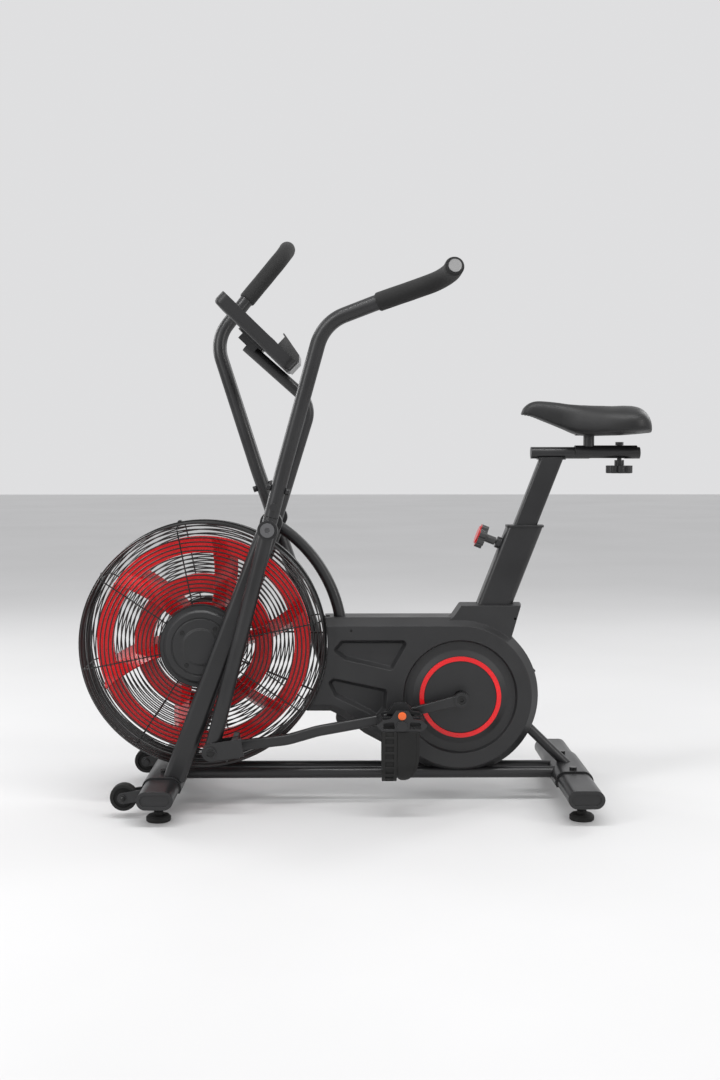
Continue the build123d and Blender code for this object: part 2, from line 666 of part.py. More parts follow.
def guard(way):
    """One half of the guard: face rings, corner rings, side rings and eight spokes."""
    flat_r = GUARD_R - GUARD_CORNER
    with BuildPart() as half:
        for step in range(FACE_RINGS):
            guard_ring(92 + step * (flat_r - 92) / (FACE_RINGS - 1), way * GUARD_HALF)
        for angle in (65, 40, 15):
            r, y = polar((flat_r, GUARD_HALF - GUARD_CORNER), GUARD_CORNER, angle)
            guard_ring(r, way * y)
        for y in SIDE_RING_Y:
            belt_side = way > 0 and BELT_Y[0] - 5 < y < BELT_Y[1] + 5
            guard_ring(GUARD_R, way * y, gap=46 if belt_side else 0)
        for angle in SPOKE_ANGLES:
            guard_spoke(angle, way)
    return half


save(guard(-1), "left_guard")
save(guard(1), "right_guard")

with BuildPart() as guard_rim:
    cross_bar(FAN, -5, 5, GUARD_R + 4.5)
    for angle in SPOKE_ANGLES:
        cross_bar(polar(FAN, GUARD_R + 3, angle), -8, 8, 5)
    cross_bar(FAN, -20, 20, GUARD_R - 1.5, Mode.SUBTRACT)
save(guard_rim, "guard_rim")

with BuildPart() as hub_covers:
    for way in (-1, 1):
        with BuildSketch(Plane(origin=(FAN[0], 0, FAN[1]), x_dir=(1, 0, 0), z_dir=(0, 0, 1))):
            with BuildLine():
                outer = [(0, 93), (37, 93), (38, 92), (40, 92), (41, 91), (60, 91), (61, 89.5)]
                outer += [(63, 89.5), (64, 91), (75, 90), (80, 86), (81, 82), (90, 82), (90, 80)]
                inner = [(79, 80), (78, 86), (73, 88), (0, 88), (0, 93)]
                Polyline(*[(r, way * y) for r, y in outer + inner])
            make_face()
        revolve(axis=Axis((FAN[0], 0, FAN[1]), (0, 1, 0)))
        with Locations((block_x, way * 88, FAN[1])):
            Box(26, 24, 38, mode=Mode.SUBTRACT)
        for angle in (52, 142, 232, 322):
            cross_bar(polar(FAN, 50, angle), way * 80, way * 95, 2.5, Mode.SUBTRACT)
save(hub_covers, "hub_covers")

with BuildPart() as fan_axle:
    cross_bar(FAN, -87, 87, 8)
    for way in (-1, 1):
        with BuildSketch(side(way * 83)):
            with Locations(FAN):
                RegularPolygon(12, 6)
        extrude(amount=way * 7)
save(fan_axle, "fan_axle")

# ---- Fan wheel ----
FAN_RINGS = ((200, 236), (112, 153))
BLADES = 6
BLADE_START = 12.0
FAN_PLANE = -20.0
BLADE_SECTIONS = ((84, 17, -11), (150, 21, -2), (228, 25, 28))  # radius, half width, sweep
with BuildPart() as fan_wheel:
    cross_bar(FAN, FAN_PLANE - 1.5, FAN_PLANE + 1.5, 90)
    for inner_r, outer_r in FAN_RINGS:
        with BuildSketch(side(FAN_PLANE + 1.5)):
            with Locations(FAN):
                Circle(outer_r)
                Circle(inner_r, mode=Mode.SUBTRACT)
        extrude(amount=3)
        for lip_r in (outer_r, inner_r + 3):
            with BuildSketch(side(FAN_PLANE + 11)):
                with Locations(FAN):
                    Circle(lip_r)
                    Circle(lip_r - 3, mode=Mode.SUBTRACT)
            extrude(amount=11)
    for step in range(BLADES):
        angle = radians(BLADE_START + step * 360 / BLADES)
        ray = (cos(angle), 0, sin(angle))
        across = (-sin(angle), 0, cos(angle))
        for radius, half, shift in BLADE_SECTIONS:
            origin = (FAN[0] + radius * ray[0], 0, FAN[1] + radius * ray[2])
            with BuildSketch(Plane(origin=origin, x_dir=across, z_dir=ray)):
                with BuildLine():
                    # local y is -Y here, so the side near the rider's left has positive y
                    front = [(shift + half, 62), (shift - 0.36 * half, 14), (shift - half, -24)]
                    back = [(shift - half - 2.6, -23), (shift - 0.36 * half - 2.2, 15.6)]
                    back += [(shift + half - 2.4, 63.4)]
                    Polyline(*front, *back, close=True)
                make_face()
        loft()
    cross_bar(FAN, -80, 80, 20, Mode.SUBTRACT)
save(fan_wheel, "fan_wheel")

with BuildPart() as fan_hub:
    cross_bar(FAN, -62, 36, 20)
    cross_bar(FAN, FAN_PLANE + 1.5, FAN_PLANE + 7.5, 42)
    cross_bar(FAN, 36, 56, FAN_PULLEY_R)
    cross_bar(FAN, 36, 39, 22)
    cross_bar(FAN, 53, 56, 22)
    cross_bar(FAN, -70, 60, 12, Mode.SUBTRACT)
save(fan_hub, "fan_hub")

with BuildPart() as fan_bearings:
    cross_bar(FAN, -61, -50, 12)
    cross_bar(FAN, 44, 55, 12)
    cross_bar(FAN, -70, 70, 8 + RUNNING, Mode.SUBTRACT)
save(fan_bearings, "fan_bearings")

# ---- Belt drive and crank ----
with BuildPart() as drive_pulley:
    with BuildSketch(side(49)):
        with Locations(CRANK):
            Circle(DRIVE_PULLEY_R - 6)
            with PolarLocations(72, 6):
                Circle(24, mode=Mode.SUBTRACT)
    extrude(amount=6)
    with BuildSketch(side(53)):
        with Locations(CRANK):
            Circle(DRIVE_PULLEY_R)
            Circle(DRIVE_PULLEY_R - 6, mode=Mode.SUBTRACT)
    extrude(amount=14)
    cross_bar(CRANK, 36, 56, 22)
    cross_bar(CRANK, 30, 60, AXLE_R, Mode.SUBTRACT)
save(drive_pulley, "drive_pulley")

with BuildPart() as drive_belt:
    for grow, mode in ((BELT_GAP + BELT_THICKNESS, Mode.ADD), (BELT_GAP, Mode.SUBTRACT)):
        with BuildSketch(side(BELT_Y[1])) as loop:
            with Locations(CRANK):
                Circle(DRIVE_PULLEY_R + grow)
            with Locations(FAN):
                Circle(FAN_PULLEY_R + grow)
            make_hull()
        extrude(loop.sketch, amount=BELT_Y[1] - BELT_Y[0], mode=mode)
save(drive_belt, "drive_belt")

with BuildPart() as crank_axle:
    cross_bar(CRANK, -85, 85, AXLE_R)
    for way in (-1, 1):
        with BuildSketch(side(way * 85)):
            with Locations(CRANK):
                RegularPolygon(5, 6)
        extrude(amount=way * 4, mode=Mode.SUBTRACT)
save(crank_axle, "crank_axle")

with BuildPart() as crank_arms:
    for way, pin in ((-1, LEFT_PIN), (1, RIGHT_PIN)):
        with BuildSketch(side(way * CRANK_Y[1])) as outline:
            with Locations(CRANK):
                Circle(12)
            with Locations(pin):
                Circle(8.5)
            make_hull()
        extrude(outline.sketch, amount=way * (CRANK_Y[1] - CRANK_Y[0]))
    fillet(crank_arms.edges().filter_by(Plane.XZ), 2.5)
    for way, pin in ((-1, LEFT_PIN), (1, RIGHT_PIN)):
        cross_bar(pin, way * CRANK_Y[0], way * (CRANK_Y[1] + 3), 12)
        cross_bar(CRANK, way * CRANK_Y[0], way * (CRANK_Y[1] + 2), 16.5)
    cross_bar(CRANK, -90, 90, AXLE_R, Mode.SUBTRACT)
save(crank_arms, "crank_arms")

with BuildPart() as pedal_spindles:
    for way, pin in ((-1, LEFT_PIN), (1, RIGHT_PIN)):
        cross_bar(pin, way * 103.6, way * 199, 7)
        cross_bar(pin, way * 103.6, way * 105.6, 11)
save(pedal_spindles, "pedal_spindles")

END_PLATE = [(-54, 0), (-40, 12), (-24, 14), (-13, 32), (13, 32), (24, 14), (40, 12), (54, 0)]
END_PLATE += [(42, -12), (-42, -12)]
PLATE_WINDOW = [(17, 8), (35, 7), (45, 0), (38, -7), (15, -7)]
STRAP_DROP = 125.0
STRAP_BAND = (-42.0, -10.0)  # the notched band, fore and aft of the pedal axis
STRAP_TONGUE = (-17.0, 37.0)  # the wide tongue over the band's outer half


def pedal(way, pin):
    """A cage pedal: barrel, two end plates, front and rear bars and cross ribs."""
    with BuildPart() as body:
        cross_bar(pin, way * PEDAL_Y[0], way * PEDAL_Y[1], 11.5)
        for plate_y in (PEDAL_Y[0], PEDAL_Y[1] - 5):
            with BuildSketch(side(way * (plate_y + 2.5) + 2.5)):
                with BuildLine():
                    FilletPolyline(*[(pin[0] + x, pin[1] + z) for x, z in END_PLATE], radius=3, close=True)
                make_face()
                for end in (-1, 1):
                    with BuildLine():
                        FilletPolyline(*[(pin[0] + end * x, pin[1] + z) for x, z in PLATE_WINDOW], radius=2,
                                       close=True)
                    make_face(mode=Mode.SUBTRACT)
            extrude(amount=5)
        for bar_x in (-1, 1):
            cross_bar((pin[0] + bar_x * 45, pin[1]), way * PEDAL_Y[0], way * PEDAL_Y[1], 6)
        for rib_y in (137, 169):
            with Locations((pin[0], way * rib_y, pin[1])):
                Box(92, 5, 14)
        cross_bar(pin, way * PEDAL_Y[1], way * (PEDAL_Y[1] + 5), 11)
        cross_bar(pin, way * (PEDAL_Y[0] - 5), way * PEDAL_Y[1], 7 + RUNNING, Mode.SUBTRACT)
    return body


def pedal_strap(pin, way):
    """The strap that hangs under a pedal: a closed band, and a tongue over its outer half."""
    middle_y = way * sum(PEDAL_Y) / 2
    outer = (PEDAL_Y[1] - PEDAL_Y[0]) / 2 - 0.5
    with BuildPart() as loop:
        for low, high, inner_half in ((*STRAP_BAND, True), (*STRAP_TONGUE, False)):
            with BuildSketch(Plane.YZ.offset(pin[0] + low)):
                with Locations((middle_y, pin[1] - STRAP_DROP + outer)):
                    Circle(outer)
                    Rectangle(2 * outer, 100, align=(Align.CENTER, Align.MIN))
                    Circle(outer - 3, mode=Mode.SUBTRACT)
                    Rectangle(2 * outer - 6, 110, align=(Align.CENTER, Align.MIN), mode=Mode.SUBTRACT)
                with Locations((middle_y, pin[1] - 12)):
                    Rectangle(120, 100, align=(Align.CENTER, Align.MIN), mode=Mode.SUBTRACT)
                if not inner_half:
                    with Locations((middle_y - way * 60, pin[1] - STRAP_DROP)):
                        Rectangle(120, 300, mode=Mode.SUBTRACT)
            extrude(amount=high - low)
    return loop


for way, pin, name in ((-1, LEFT_PIN, "left"), (1, RIGHT_PIN, "right")):
    save(pedal(way, pin), f"{name}_pedal")
    save(pedal_strap(pin, way), f"{name}_pedal_strap")

# ---- Arms ----
SWING_AXIS = Axis((PIVOT[0], 0, PIVOT[1]), (0, 1, 0))
SIDE_BOLT = 50.0
THROUGH_BOLT = 88.0
BAR_START = 28.0


def across_arm(height, length, radius, mode=Mode.ADD):
    """A bar through the left arm, square to it in its own plane of swing."""
    spot = along(PIVOT, LEFT_LEAN, height)
    out = (cos(radians(LEFT_LEAN)), 0, -sin(radians(LEFT_LEAN)))
    with Locations(Plane(origin=space(spot, -ARM_Y), z_dir=out)):
        Cylinder(radius, length, mode=mode)


with BuildPart() as lower_arm:
    with BuildSketch(lean_plane(LEFT_JOINT, LEFT_LEAN, -ARM_Y)):
        Circle(ARM_R)
        Circle(ARM_R - 3, mode=Mode.SUBTRACT)
    extrude(amount=LOWER_ARM + BAR_START - 1)
    with BuildSketch(lean_plane(PIVOT, LEFT_LEAN, -ARM_Y, 10)):
        Circle(ARM_R - 3)
    extrude(amount=105)
    cross_bar(LEFT_JOINT, -ARM_Y - ARM_HALF, -ARM_Y + ARM_HALF, 19)
    cross_bar(PIVOT, -ARM_Y - ARM_HALF, -ARM_Y + ARM_HALF, 21)
    cross_bar(LEFT_JOINT, -ARM_Y - 30, -ARM_Y + 30, 8, Mode.SUBTRACT)
    cross_bar(PIVOT, -ARM_Y - 30, -ARM_Y + 30, 13, Mode.SUBTRACT)
    cross_bar(along(PIVOT, LEFT_LEAN, SIDE_BOLT), -ARM_Y - 30, -ARM_Y + 30, 4, Mode.SUBTRACT)
    across_arm(THROUGH_BOLT, 60, 4, Mode.SUBTRACT)

BAR_POINTS = [
    lean_plane(PIVOT, LEFT_LEAN, -ARM_Y, BAR_START).origin,
    lean_plane(PIVOT, LEFT_LEAN, -ARM_Y, 125).origin,
    Vector(-87, -178, 1037),
    Vector(16, -203.5, 1074),
    Vector(164, -237, 1122),
    Vector(173, -308, 1136.5),
]
BAR_BENDS = [400, 90, 200, 70]
BAR_R = 16.0
GRIP_R = 19.5
with BuildPart() as handlebar:
    with BuildLine() as bar_route:
        FilletPolyline(*BAR_POINTS, radius=BAR_BENDS)
    with BuildSketch(start_plane(bar_route)):
        Circle(BAR_R)
        Circle(BAR_R - 3, mode=Mode.SUBTRACT)
    sweep()
    cross_bar(along(PIVOT, LEFT_LEAN, SIDE_BOLT), -ARM_Y - 30, -ARM_Y + 30, 4, Mode.SUBTRACT)
    across_arm(THROUGH_BOLT, 60, 4, Mode.SUBTRACT)

grip_heading = (BAR_POINTS[4] - BAR_POINTS[3]).normalized()
grip_start = BAR_POINTS[3] + grip_heading * 8
with BuildPart() as grip:
    with BuildLine() as grip_route:
        FilletPolyline(grip_start, BAR_POINTS[4], BAR_POINTS[5], radius=BAR_BENDS[3])
    with BuildSketch(start_plane(grip_route)):
        Circle(GRIP_R)
        Circle(BAR_R, mode=Mode.SUBTRACT)
    sweep()

with BuildPart() as grip_cap:
    with BuildSketch(Plane(origin=bar_route.line @ 1, z_dir=bar_route.line % 1)):
        Circle(13)
    extrude(amount=3)

with BuildPart() as arm_fittings:
    cross_bar(PIVOT, -ARM_Y - ARM_HALF, -ARM_Y + ARM_HALF, 13)
    cross_bar(PIVOT, -ARM_Y - 30, -ARM_Y + 30, AXLE_R + RUNNING, Mode.SUBTRACT)
    bolt_place = along(PIVOT, LEFT_LEAN, SIDE_BOLT)
    cross_bar(bolt_place, -ARM_Y - ARM_R, -ARM_Y + ARM_R, 4)
    for end in (-1, 1):
        cross_bar(bolt_place, -ARM_Y + end * ARM_R, -ARM_Y + end * (ARM_R + 4), 8)
    bolt_axis = Vector(cos(radians(LEFT_LEAN)), 0, -sin(radians(LEFT_LEAN)))
    across_arm(THROUGH_BOLT, 2 * ARM_R + 2, 4)
    spot = space(along(PIVOT, LEFT_LEAN, THROUGH_BOLT), -ARM_Y)
    for end in (-1, 1):
        with Locations(Plane(origin=spot + bolt_axis * (end * (ARM_R + 4)), z_dir=bolt_axis)):
            Cylinder(7, 8)


def other_side(piece):
    """The same piece on the right arm, which stands at the other end of its swing."""
    with BuildPart() as twin:
        flipped = mirror(piece.part, about=Plane.XZ, mode=Mode.PRIVATE)
        add(flipped.rotate(SWING_AXIS, RIGHT_LEAN - LEFT_LEAN))
    return twin


for name, piece in (("handlebar", handlebar), ("grip", grip), ("grip_cap", grip_cap)):
    save(piece, f"left_{name}")
    save(other_side(piece), f"right_{name}")
save_group([lower_arm, arm_fittings], "left_lower_arm")
save_group([other_side(lower_arm), other_side(arm_fittings)], "right_lower_arm")


# ---- Connecting rods ----
def rod(joint, pin, way):
    """Clevis around the arm's lower end, a step inwards, then a flat-sided tube to the eye."""
    heading = Vector(pin[0] - joint[0], 0, pin[1] - joint[1]).normalized()

    def rod_plane(y):
        return Plane(origin=(joint[0], way * y, joint[1]), x_dir=heading, z_dir=(0, -1, 0))

    middle_y = sum(ROD_Y) / 2
    clevis_out = ARM_Y + ARM_HALF + 1.0
    clevis_in = ARM_Y - ARM_HALF - 1.0
    with BuildPart() as piece:
        for y, thickness, length in ((clevis_out, 3.5, 68), (clevis_in - 3, 3.0, 58)):
            with BuildSketch(rod_plane(y + thickness / 2)) as plate:
                with Locations((length / 2, 0)):
                    Rectangle(length, 38)
                Circle(19)
            extrude(plate.sketch, amount=thickness / 2, both=True)
        with BuildSketch(rod_plane((clevis_out + ROD_Y[0]) / 2)) as web:
            with Locations((52, -2)):
                Rectangle(12, 40)
        extrude(web.sketch, amount=(clevis_out - ROD_Y[0]) / 2 + 0.5, both=True)
        base = rod_plane(middle_y)
        points = [base.from_local_coords(spot) for spot in ((50, -10), (158, -14), (225, -5), (392, 0))]
        with BuildLine() as route:
            FilletPolyline(*points, radius=160)
        with BuildSketch(start_plane(route)) as section:
            SlotOverall(24, ROD_Y[1] - ROD_Y[0])
        sweep(section.sketch, path=route.wire())
        cross_bar(pin, way * ROD_Y[0], way * ROD_Y[1], 30)
        cross_bar(pin, way * 80, way * 110, 12, Mode.SUBTRACT)
        cross_bar(joint, way * 120, way * 190, 8 - RUNNING, Mode.SUBTRACT)
    with BuildPart() as pins:
        cross_bar(pin, way * ROD_Y[0], way * ROD_Y[1], 12)
        cross_bar(joint, way * (clevis_in - 7), way * (clevis_out + 7), 8 - RUNNING)
        cross_bar(joint, way * (clevis_out + 3.5), way * (clevis_out + 8), 12)
        cross_bar(joint, way * (clevis_in - 3), way * (clevis_in - 7), 11)
    return piece, pins


for way, joint, pin, name in ((-1, LEFT_JOINT, LEFT_PIN, "left"), (1, RIGHT_JOINT, RIGHT_PIN, "right")):
    save_group(rod(joint, pin, way), f"{name}_rod")

# ---- Console ----
MAST_CORNER = (-116, 877)
MAST_END = (-259, 1004)
CONSOLE_CENTRE = (-235.5, 1029.0)
CONSOLE_SIZE = (218.0, 170.0, 30.0)
console_dir = Vector(157, 0, -151.5).normalized()
console_up = Vector(151.5, 0, 157).normalized()


def console_plane(height):
    """Plane of the console's face: sketch x runs down the slope, sketch y is across the bike."""
    return Plane(origin=space(CONSOLE_CENTRE) + console_up * height, x_dir=console_dir, z_dir=console_up)


with BuildPart() as mast:
    with BuildLine() as mast_route:
        FilletPolyline(space((-198.5, 611)), space(MAST_CORNER), space(MAST_END), radius=60)
    with BuildSketch(start_plane(mast_route)):
        Circle(13)
        Circle(11, mode=Mode.SUBTRACT)
    sweep()
    with BuildSketch(console_plane(-34)):
        Rectangle(46, 40)
    extrude(amount=14)
    with BuildSketch(console_plane(-20)):
        RectangleRounded(70, 70, 8)
    extrude(amount=5)
    cross_bar(PIVOT, -40, 40, 17, Mode.SUBTRACT)
save(mast, "console_mast")

BUTTONS = {"console_mode_button": -22.0, "console_reset_button": 22.0}
BUTTON_X = 36.0
SCREEN_X = -36.0
SCREEN_SIZE = (108.0, 138.0)
TRAY_OUTSIDE = [(53, 15), (53, 36), (46, 38), (46, 41), (57, 39)]
TRAY_OUTSIDE += [(102, 30), (112, 19), (112, -10), (109.1, -10), (109.1, 15)]
TRAY_INSIDE = [(56, 14), (56, 36), (100, 27), (108, 17), (108, 14)]
TRAY_HALF = 65.0
with BuildPart() as console_case:
    with BuildSketch(console_plane(-15)):
        RectangleRounded(CONSOLE_SIZE[0], CONSOLE_SIZE[1], 18)
    extrude(amount=CONSOLE_SIZE[2])
    fillet(console_case.faces().sort_by(Axis(origin=(0, 0, 0), direction=tuple(console_up)))[0].edges(), 9)
    with BuildSketch(console_plane(15)):
        with Locations((SCREEN_X, 0)):
            RectangleRounded(*SCREEN_SIZE, 8)
        with Locations([(BUTTON_X, y) for y in BUTTONS.values()]):
            Circle(8 + 0.3)
    extrude(amount=-3, mode=Mode.SUBTRACT)
    with BuildSketch(console_plane(12)):
        with Locations([(BUTTON_X, y) for y in BUTTONS.values()]):
            Circle(8 + 0.3)
    extrude(amount=-4, mode=Mode.SUBTRACT)
save(console_case, "console_case")

with BuildPart() as console_screen:
    with BuildSketch(console_plane(12)):
        with Locations((SCREEN_X, 0)):
            RectangleRounded(*SCREEN_SIZE, 8)
    extrude(amount=2)
save(console_screen, "console_screen")

with BuildPart() as console_tray:
    layers = ((TRAY_OUTSIDE, TRAY_HALF, Mode.ADD), (TRAY_INSIDE, TRAY_HALF - 3, Mode.SUBTRACT))
    for outline, half, mode in layers:
        profile = Plane(origin=space(CONSOLE_CENTRE, half), x_dir=console_dir, z_dir=(0, -1, 0))
        with BuildSketch(profile):
            with BuildLine():
                Polyline(*outline, close=True)
            make_face()
        extrude(amount=2 * half, mode=mode)
save(console_tray, "console_tray")

for name, y in BUTTONS.items():
    with BuildPart() as button:
        with BuildSketch(console_plane(11)):
            with Locations((BUTTON_X, y)):
                Circle(8)
        extrude(amount=5.5)
    save(button, name)

# ---- Screws of the fixed frame ----
with BuildPart() as frame_screws:
    for x, bolt_y in ((FRONT_X, 97), (REAR_X, 78)):
        for y in (-bolt_y, bolt_y):
            with Locations((x, y, STABILISER_Z + 17.5)):
                Cylinder(4, 11)
            with Locations((x, y, STABILISER_Z + 26)):
                Cylinder(8, 6)
        for y in (-FOOT_Y, FOOT_Y):
            with BuildSketch(Plane.XY.offset(29)):
                with Locations((x, y)):
                    RegularPolygon(10, 6)
                    Circle(5 + RUNNING, mode=Mode.SUBTRACT)
            extrude(amount=8)
    for way, depth in ((-1, HOUSING_LEFT), (1, HOUSING_RIGHT)):
        for place in HOUSING_SCREWS[:1]:
            cross_bar(place, way * (depth - 24), way * (depth - 4), 2.5)
        for angle in (52, 142, 232, 322):
            cross_bar(polar(FAN, 50, angle), way * 82, way * 91, 2.5)
            cross_bar(polar(FAN, 50, angle), way * 91, way * 93, 4.5)
save(frame_screws, "frame_screws")
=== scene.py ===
"""Looks of the air bike: procedural finishes, saddle, foam grips, pedal straps and small trim.

Metres, in the part's own frame: +X from the fan to the saddle, +Y to the rider's right, +Z up.
"""
import json
from math import cos, pi, radians, sin, sqrt

import bmesh
import bpy
from mathutils import Matrix, Vector, noise


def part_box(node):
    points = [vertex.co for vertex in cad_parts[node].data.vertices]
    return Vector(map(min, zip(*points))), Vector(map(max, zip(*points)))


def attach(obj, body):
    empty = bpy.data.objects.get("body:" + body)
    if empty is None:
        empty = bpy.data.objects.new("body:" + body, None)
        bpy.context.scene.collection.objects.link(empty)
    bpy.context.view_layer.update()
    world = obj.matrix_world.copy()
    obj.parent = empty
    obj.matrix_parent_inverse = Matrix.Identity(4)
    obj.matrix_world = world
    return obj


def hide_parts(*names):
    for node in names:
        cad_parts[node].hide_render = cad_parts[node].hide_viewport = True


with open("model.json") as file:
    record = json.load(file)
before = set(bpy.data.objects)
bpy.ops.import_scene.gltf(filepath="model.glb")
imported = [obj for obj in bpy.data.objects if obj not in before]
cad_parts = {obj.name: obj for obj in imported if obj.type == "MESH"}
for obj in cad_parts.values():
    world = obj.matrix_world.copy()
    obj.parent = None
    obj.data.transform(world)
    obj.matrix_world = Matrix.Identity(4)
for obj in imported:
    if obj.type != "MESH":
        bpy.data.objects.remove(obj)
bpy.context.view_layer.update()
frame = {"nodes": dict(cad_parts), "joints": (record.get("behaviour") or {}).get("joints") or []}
nodes = frame["nodes"]
joints = {joint["name"]: joint for joint in frame["joints"]}
BOTH = ("left_", "right_")
SIDES = (("left_", -1), ("right_", 1))  # a side and the Y direction that leads away from the bike

# ---- Camera, floor and lights ----
CAMERA_PLACE = (-0.0385, -2.945, 0.778)
CAMERA_PITCH = 3.9  # degrees below level
CAMERA_YAW = 0.55  # degrees towards +X
LENS = 44.4
FLOOR_SIZE = 40.0
FLOOR_CELLS = 8
AIM = (0, 0, 0.6)  # what every softbox points at
SOFTBOXES = [  # name, place, width and height, watts, tint
    ("overhead", (0, -1.0, 3.1), (3.2, 0.4), 52, (1, 1, 1)),
    ("key", (-2.6, -2.2, 2.2), (0.5, 2.0), 38, (1, 1, 1)),
    ("fill", (2.9, -2.0, 1.8), (0.5, 2.0), 24, (1.0, 0.98, 0.96)),
    ("rim_left", (-2.6, 1.9, 1.9), (0.6, 2.2), 30, (1, 1, 1)),
    ("rim_right", (2.4, 2.2, 2.3), (0.7, 1.8), 26, (1, 1, 1)),
]
WORLD_COLOUR = (0.88, 0.88, 0.89, 1)
WORLD_STRENGTH = 0.84


def make_camera():
    data = bpy.data.cameras.new("camera")
    data.lens = LENS
    camera = bpy.data.objects.new("camera", data)
    camera.location = CAMERA_PLACE
    camera.rotation_euler = (radians(90 - CAMERA_PITCH), 0, radians(-CAMERA_YAW))
    bpy.context.scene.collection.objects.link(camera)
    bpy.context.scene.camera = camera


def area_light(name, place, size, power, tint):
    data = bpy.data.lights.new(name, "AREA")
    data.shape = "RECTANGLE"
    data.size, data.size_y = size
    data.energy = power
    data.color = tint
    light = bpy.data.objects.new(name, data)
    light.location = place
    light.rotation_euler = (Vector(AIM) - Vector(place)).to_track_quat("-Z", "Y").to_euler()
    bpy.context.scene.collection.objects.link(light)


def make_lights():
    """A long softbox overhead, one at each front corner and two behind for the tube edges."""
    for softbox in SOFTBOXES:
        area_light(*softbox)
    world = bpy.data.worlds.new("studio")
    world.use_nodes = True
    background = world.node_tree.nodes["Background"]
    background.inputs["Color"].default_value = WORLD_COLOUR
    background.inputs["Strength"].default_value = WORLD_STRENGTH
    bpy.context.scene.world = world
    bpy.context.scene.view_settings.view_transform = "Standard"


# ---- Materials ----
# Colours are linear. A noise takes cells per metre and detail.
# A bump layer takes its height output, its depth in metres and its strength.
EDGE_SAMPLES = 6
MIX_COLOURS = (6, 7)  # the Mix node's two colour inputs
MIX_RESULT = 2
DRIFT_SCALE = 9  # cells per metre of a surface's slow change of tone


class Finish:
    """One procedural material: a Principled shader fed by noise in the object's own metres."""

    def __init__(self, name, roughness, **sockets):
        self.material = bpy.data.materials.new(name)
        self.material.use_nodes = True
        self.tree = self.material.node_tree
        self.shader = self.tree.nodes["Principled BSDF"]
        self.shader.inputs["Roughness"].default_value = roughness
        for socket, value in sockets.items():
            self.shader.inputs[socket.replace("_", " ")].default_value = value
        self.place = self.node("ShaderNodeTexCoord").outputs["Object"]

    def node(self, kind, **settings):
        made = self.tree.nodes.new(kind)
        for key, value in settings.items():
            setattr(made, key, value)
        return made

    def link(self, source, target):
        self.tree.links.new(source, target)

    def noise(self, scale, detail=3.0, stretch=None):
        """Noise of that many cells per metre; stretch scales each axis."""
        texture = self.node("ShaderNodeTexNoise")
        texture.inputs["Scale"].default_value = scale
        texture.inputs["Detail"].default_value = detail
        source = self.place
        if stretch:
            mapping = self.node("ShaderNodeMapping")
            mapping.inputs["Scale"].default_value = stretch
            self.link(source, mapping.inputs["Vector"])
            source = mapping.outputs["Vector"]
        self.link(source, texture.inputs["Vector"])
        return texture.outputs["Fac"]

    def cells(self, scale, feature="F1"):
        texture = self.node("ShaderNodeTexVoronoi", feature=feature)
        texture.inputs["Scale"].default_value = scale
        self.link(self.place, texture.inputs["Vector"])
        return texture.outputs["Distance"]

    def spread(self, source, low, high, start=0.3, end=0.7):
        """Values from low to high as source goes from start to end."""
        ranged = self.node("ShaderNodeMapRange")
        ranged.inputs["From Min"].default_value = start
        ranged.inputs["From Max"].default_value = end
        ranged.inputs["To Min"].default_value = low
        ranged.inputs["To Max"].default_value = high
        self.link(source, ranged.inputs["Value"])
        return ranged.outputs["Result"]

    def blend(self, factor, first, second):
        """Mixes two colours, or two colour outputs, by a factor output."""
        mix = self.node("ShaderNodeMix", data_type="RGBA")
        self.link(factor, mix.inputs["Factor"])
        for value, index in zip((first, second), MIX_COLOURS):
            if isinstance(value, tuple):
                mix.inputs[index].default_value = (*value, 1)
            else:
                self.link(value, mix.inputs[index])
        return mix.outputs[MIX_RESULT]

    def colour(self, output):
        self.link(output, self.shader.inputs["Base Color"])

    def rough(self, source, low, high):
        self.link(self.spread(source, low, high), self.shader.inputs["Roughness"])

    def bump(self, *layers, edge=None):
        """Layers of (height output, depth in metres, strength); edge is the radius that softens edges."""
        normal = None
        if edge:
            rounded = self.node("ShaderNodeBevel", samples=EDGE_SAMPLES)
            rounded.inputs["Radius"].default_value = edge
            normal = rounded.outputs["Normal"]
        for height, depth, strength in layers:
            bump = self.node("ShaderNodeBump")
            bump.inputs["Distance"].default_value = depth
            bump.inputs["Strength"].default_value = strength
            self.link(height, bump.inputs["Height"])
            if normal:
                self.link(normal, bump.inputs["Normal"])
            normal = bump.outputs["Normal"]
        self.link(normal, self.shader.inputs["Normal"])

    def beyond(self, direction, distance):
        """1 where the place lies further than distance along direction, else 0."""
        product = self.node("ShaderNodeVectorMath", operation="DOT_PRODUCT")
        product.inputs[1].default_value = direction
        self.link(self.place, product.inputs[0])
        over = self.node("ShaderNodeMath", operation="GREATER_THAN")
        over.inputs[1].default_value = distance
        self.link(product.outputs["Value"], over.inputs[0])
        return over.outputs["Value"]


def speckled(name, dark, light, roughness, grain, depth, strength, edge=None, **sockets):
    """A moulded or coated surface: broad tone drift, fine grain, and roughness that follows both."""
    finish = Finish(name, roughness, **sockets)
    broad = finish.noise(DRIFT_SCALE, 4)
    fine = finish.noise(grain, 2)
    tone = finish.blend(finish.spread(broad, 0, 1), dark, light)
    finish.colour(finish.blend(finish.spread(fine, 0, 0.35), tone, light))
    finish.rough(broad, roughness - 0.06, roughness + 0.08)
    finish.bump((fine, depth, strength), (broad, depth * 2, strength * 0.3), edge=edge)
    return finish


def make_powder_coat():
    return speckled("powder_coat", (0.007, 0.007, 0.0075), (0.014, 0.014, 0.015), 0.34,
                    1500, 0.0002, 0.2, edge=0.0012, Specular_IOR_Level=0.5)


def make_housing_plastic():
    return speckled("housing_plastic", (0.011, 0.011, 0.0115), (0.019, 0.019, 0.020), 0.42,
                    2200, 0.0002, 0.25, edge=0.0030, Specular_IOR_Level=0.45)


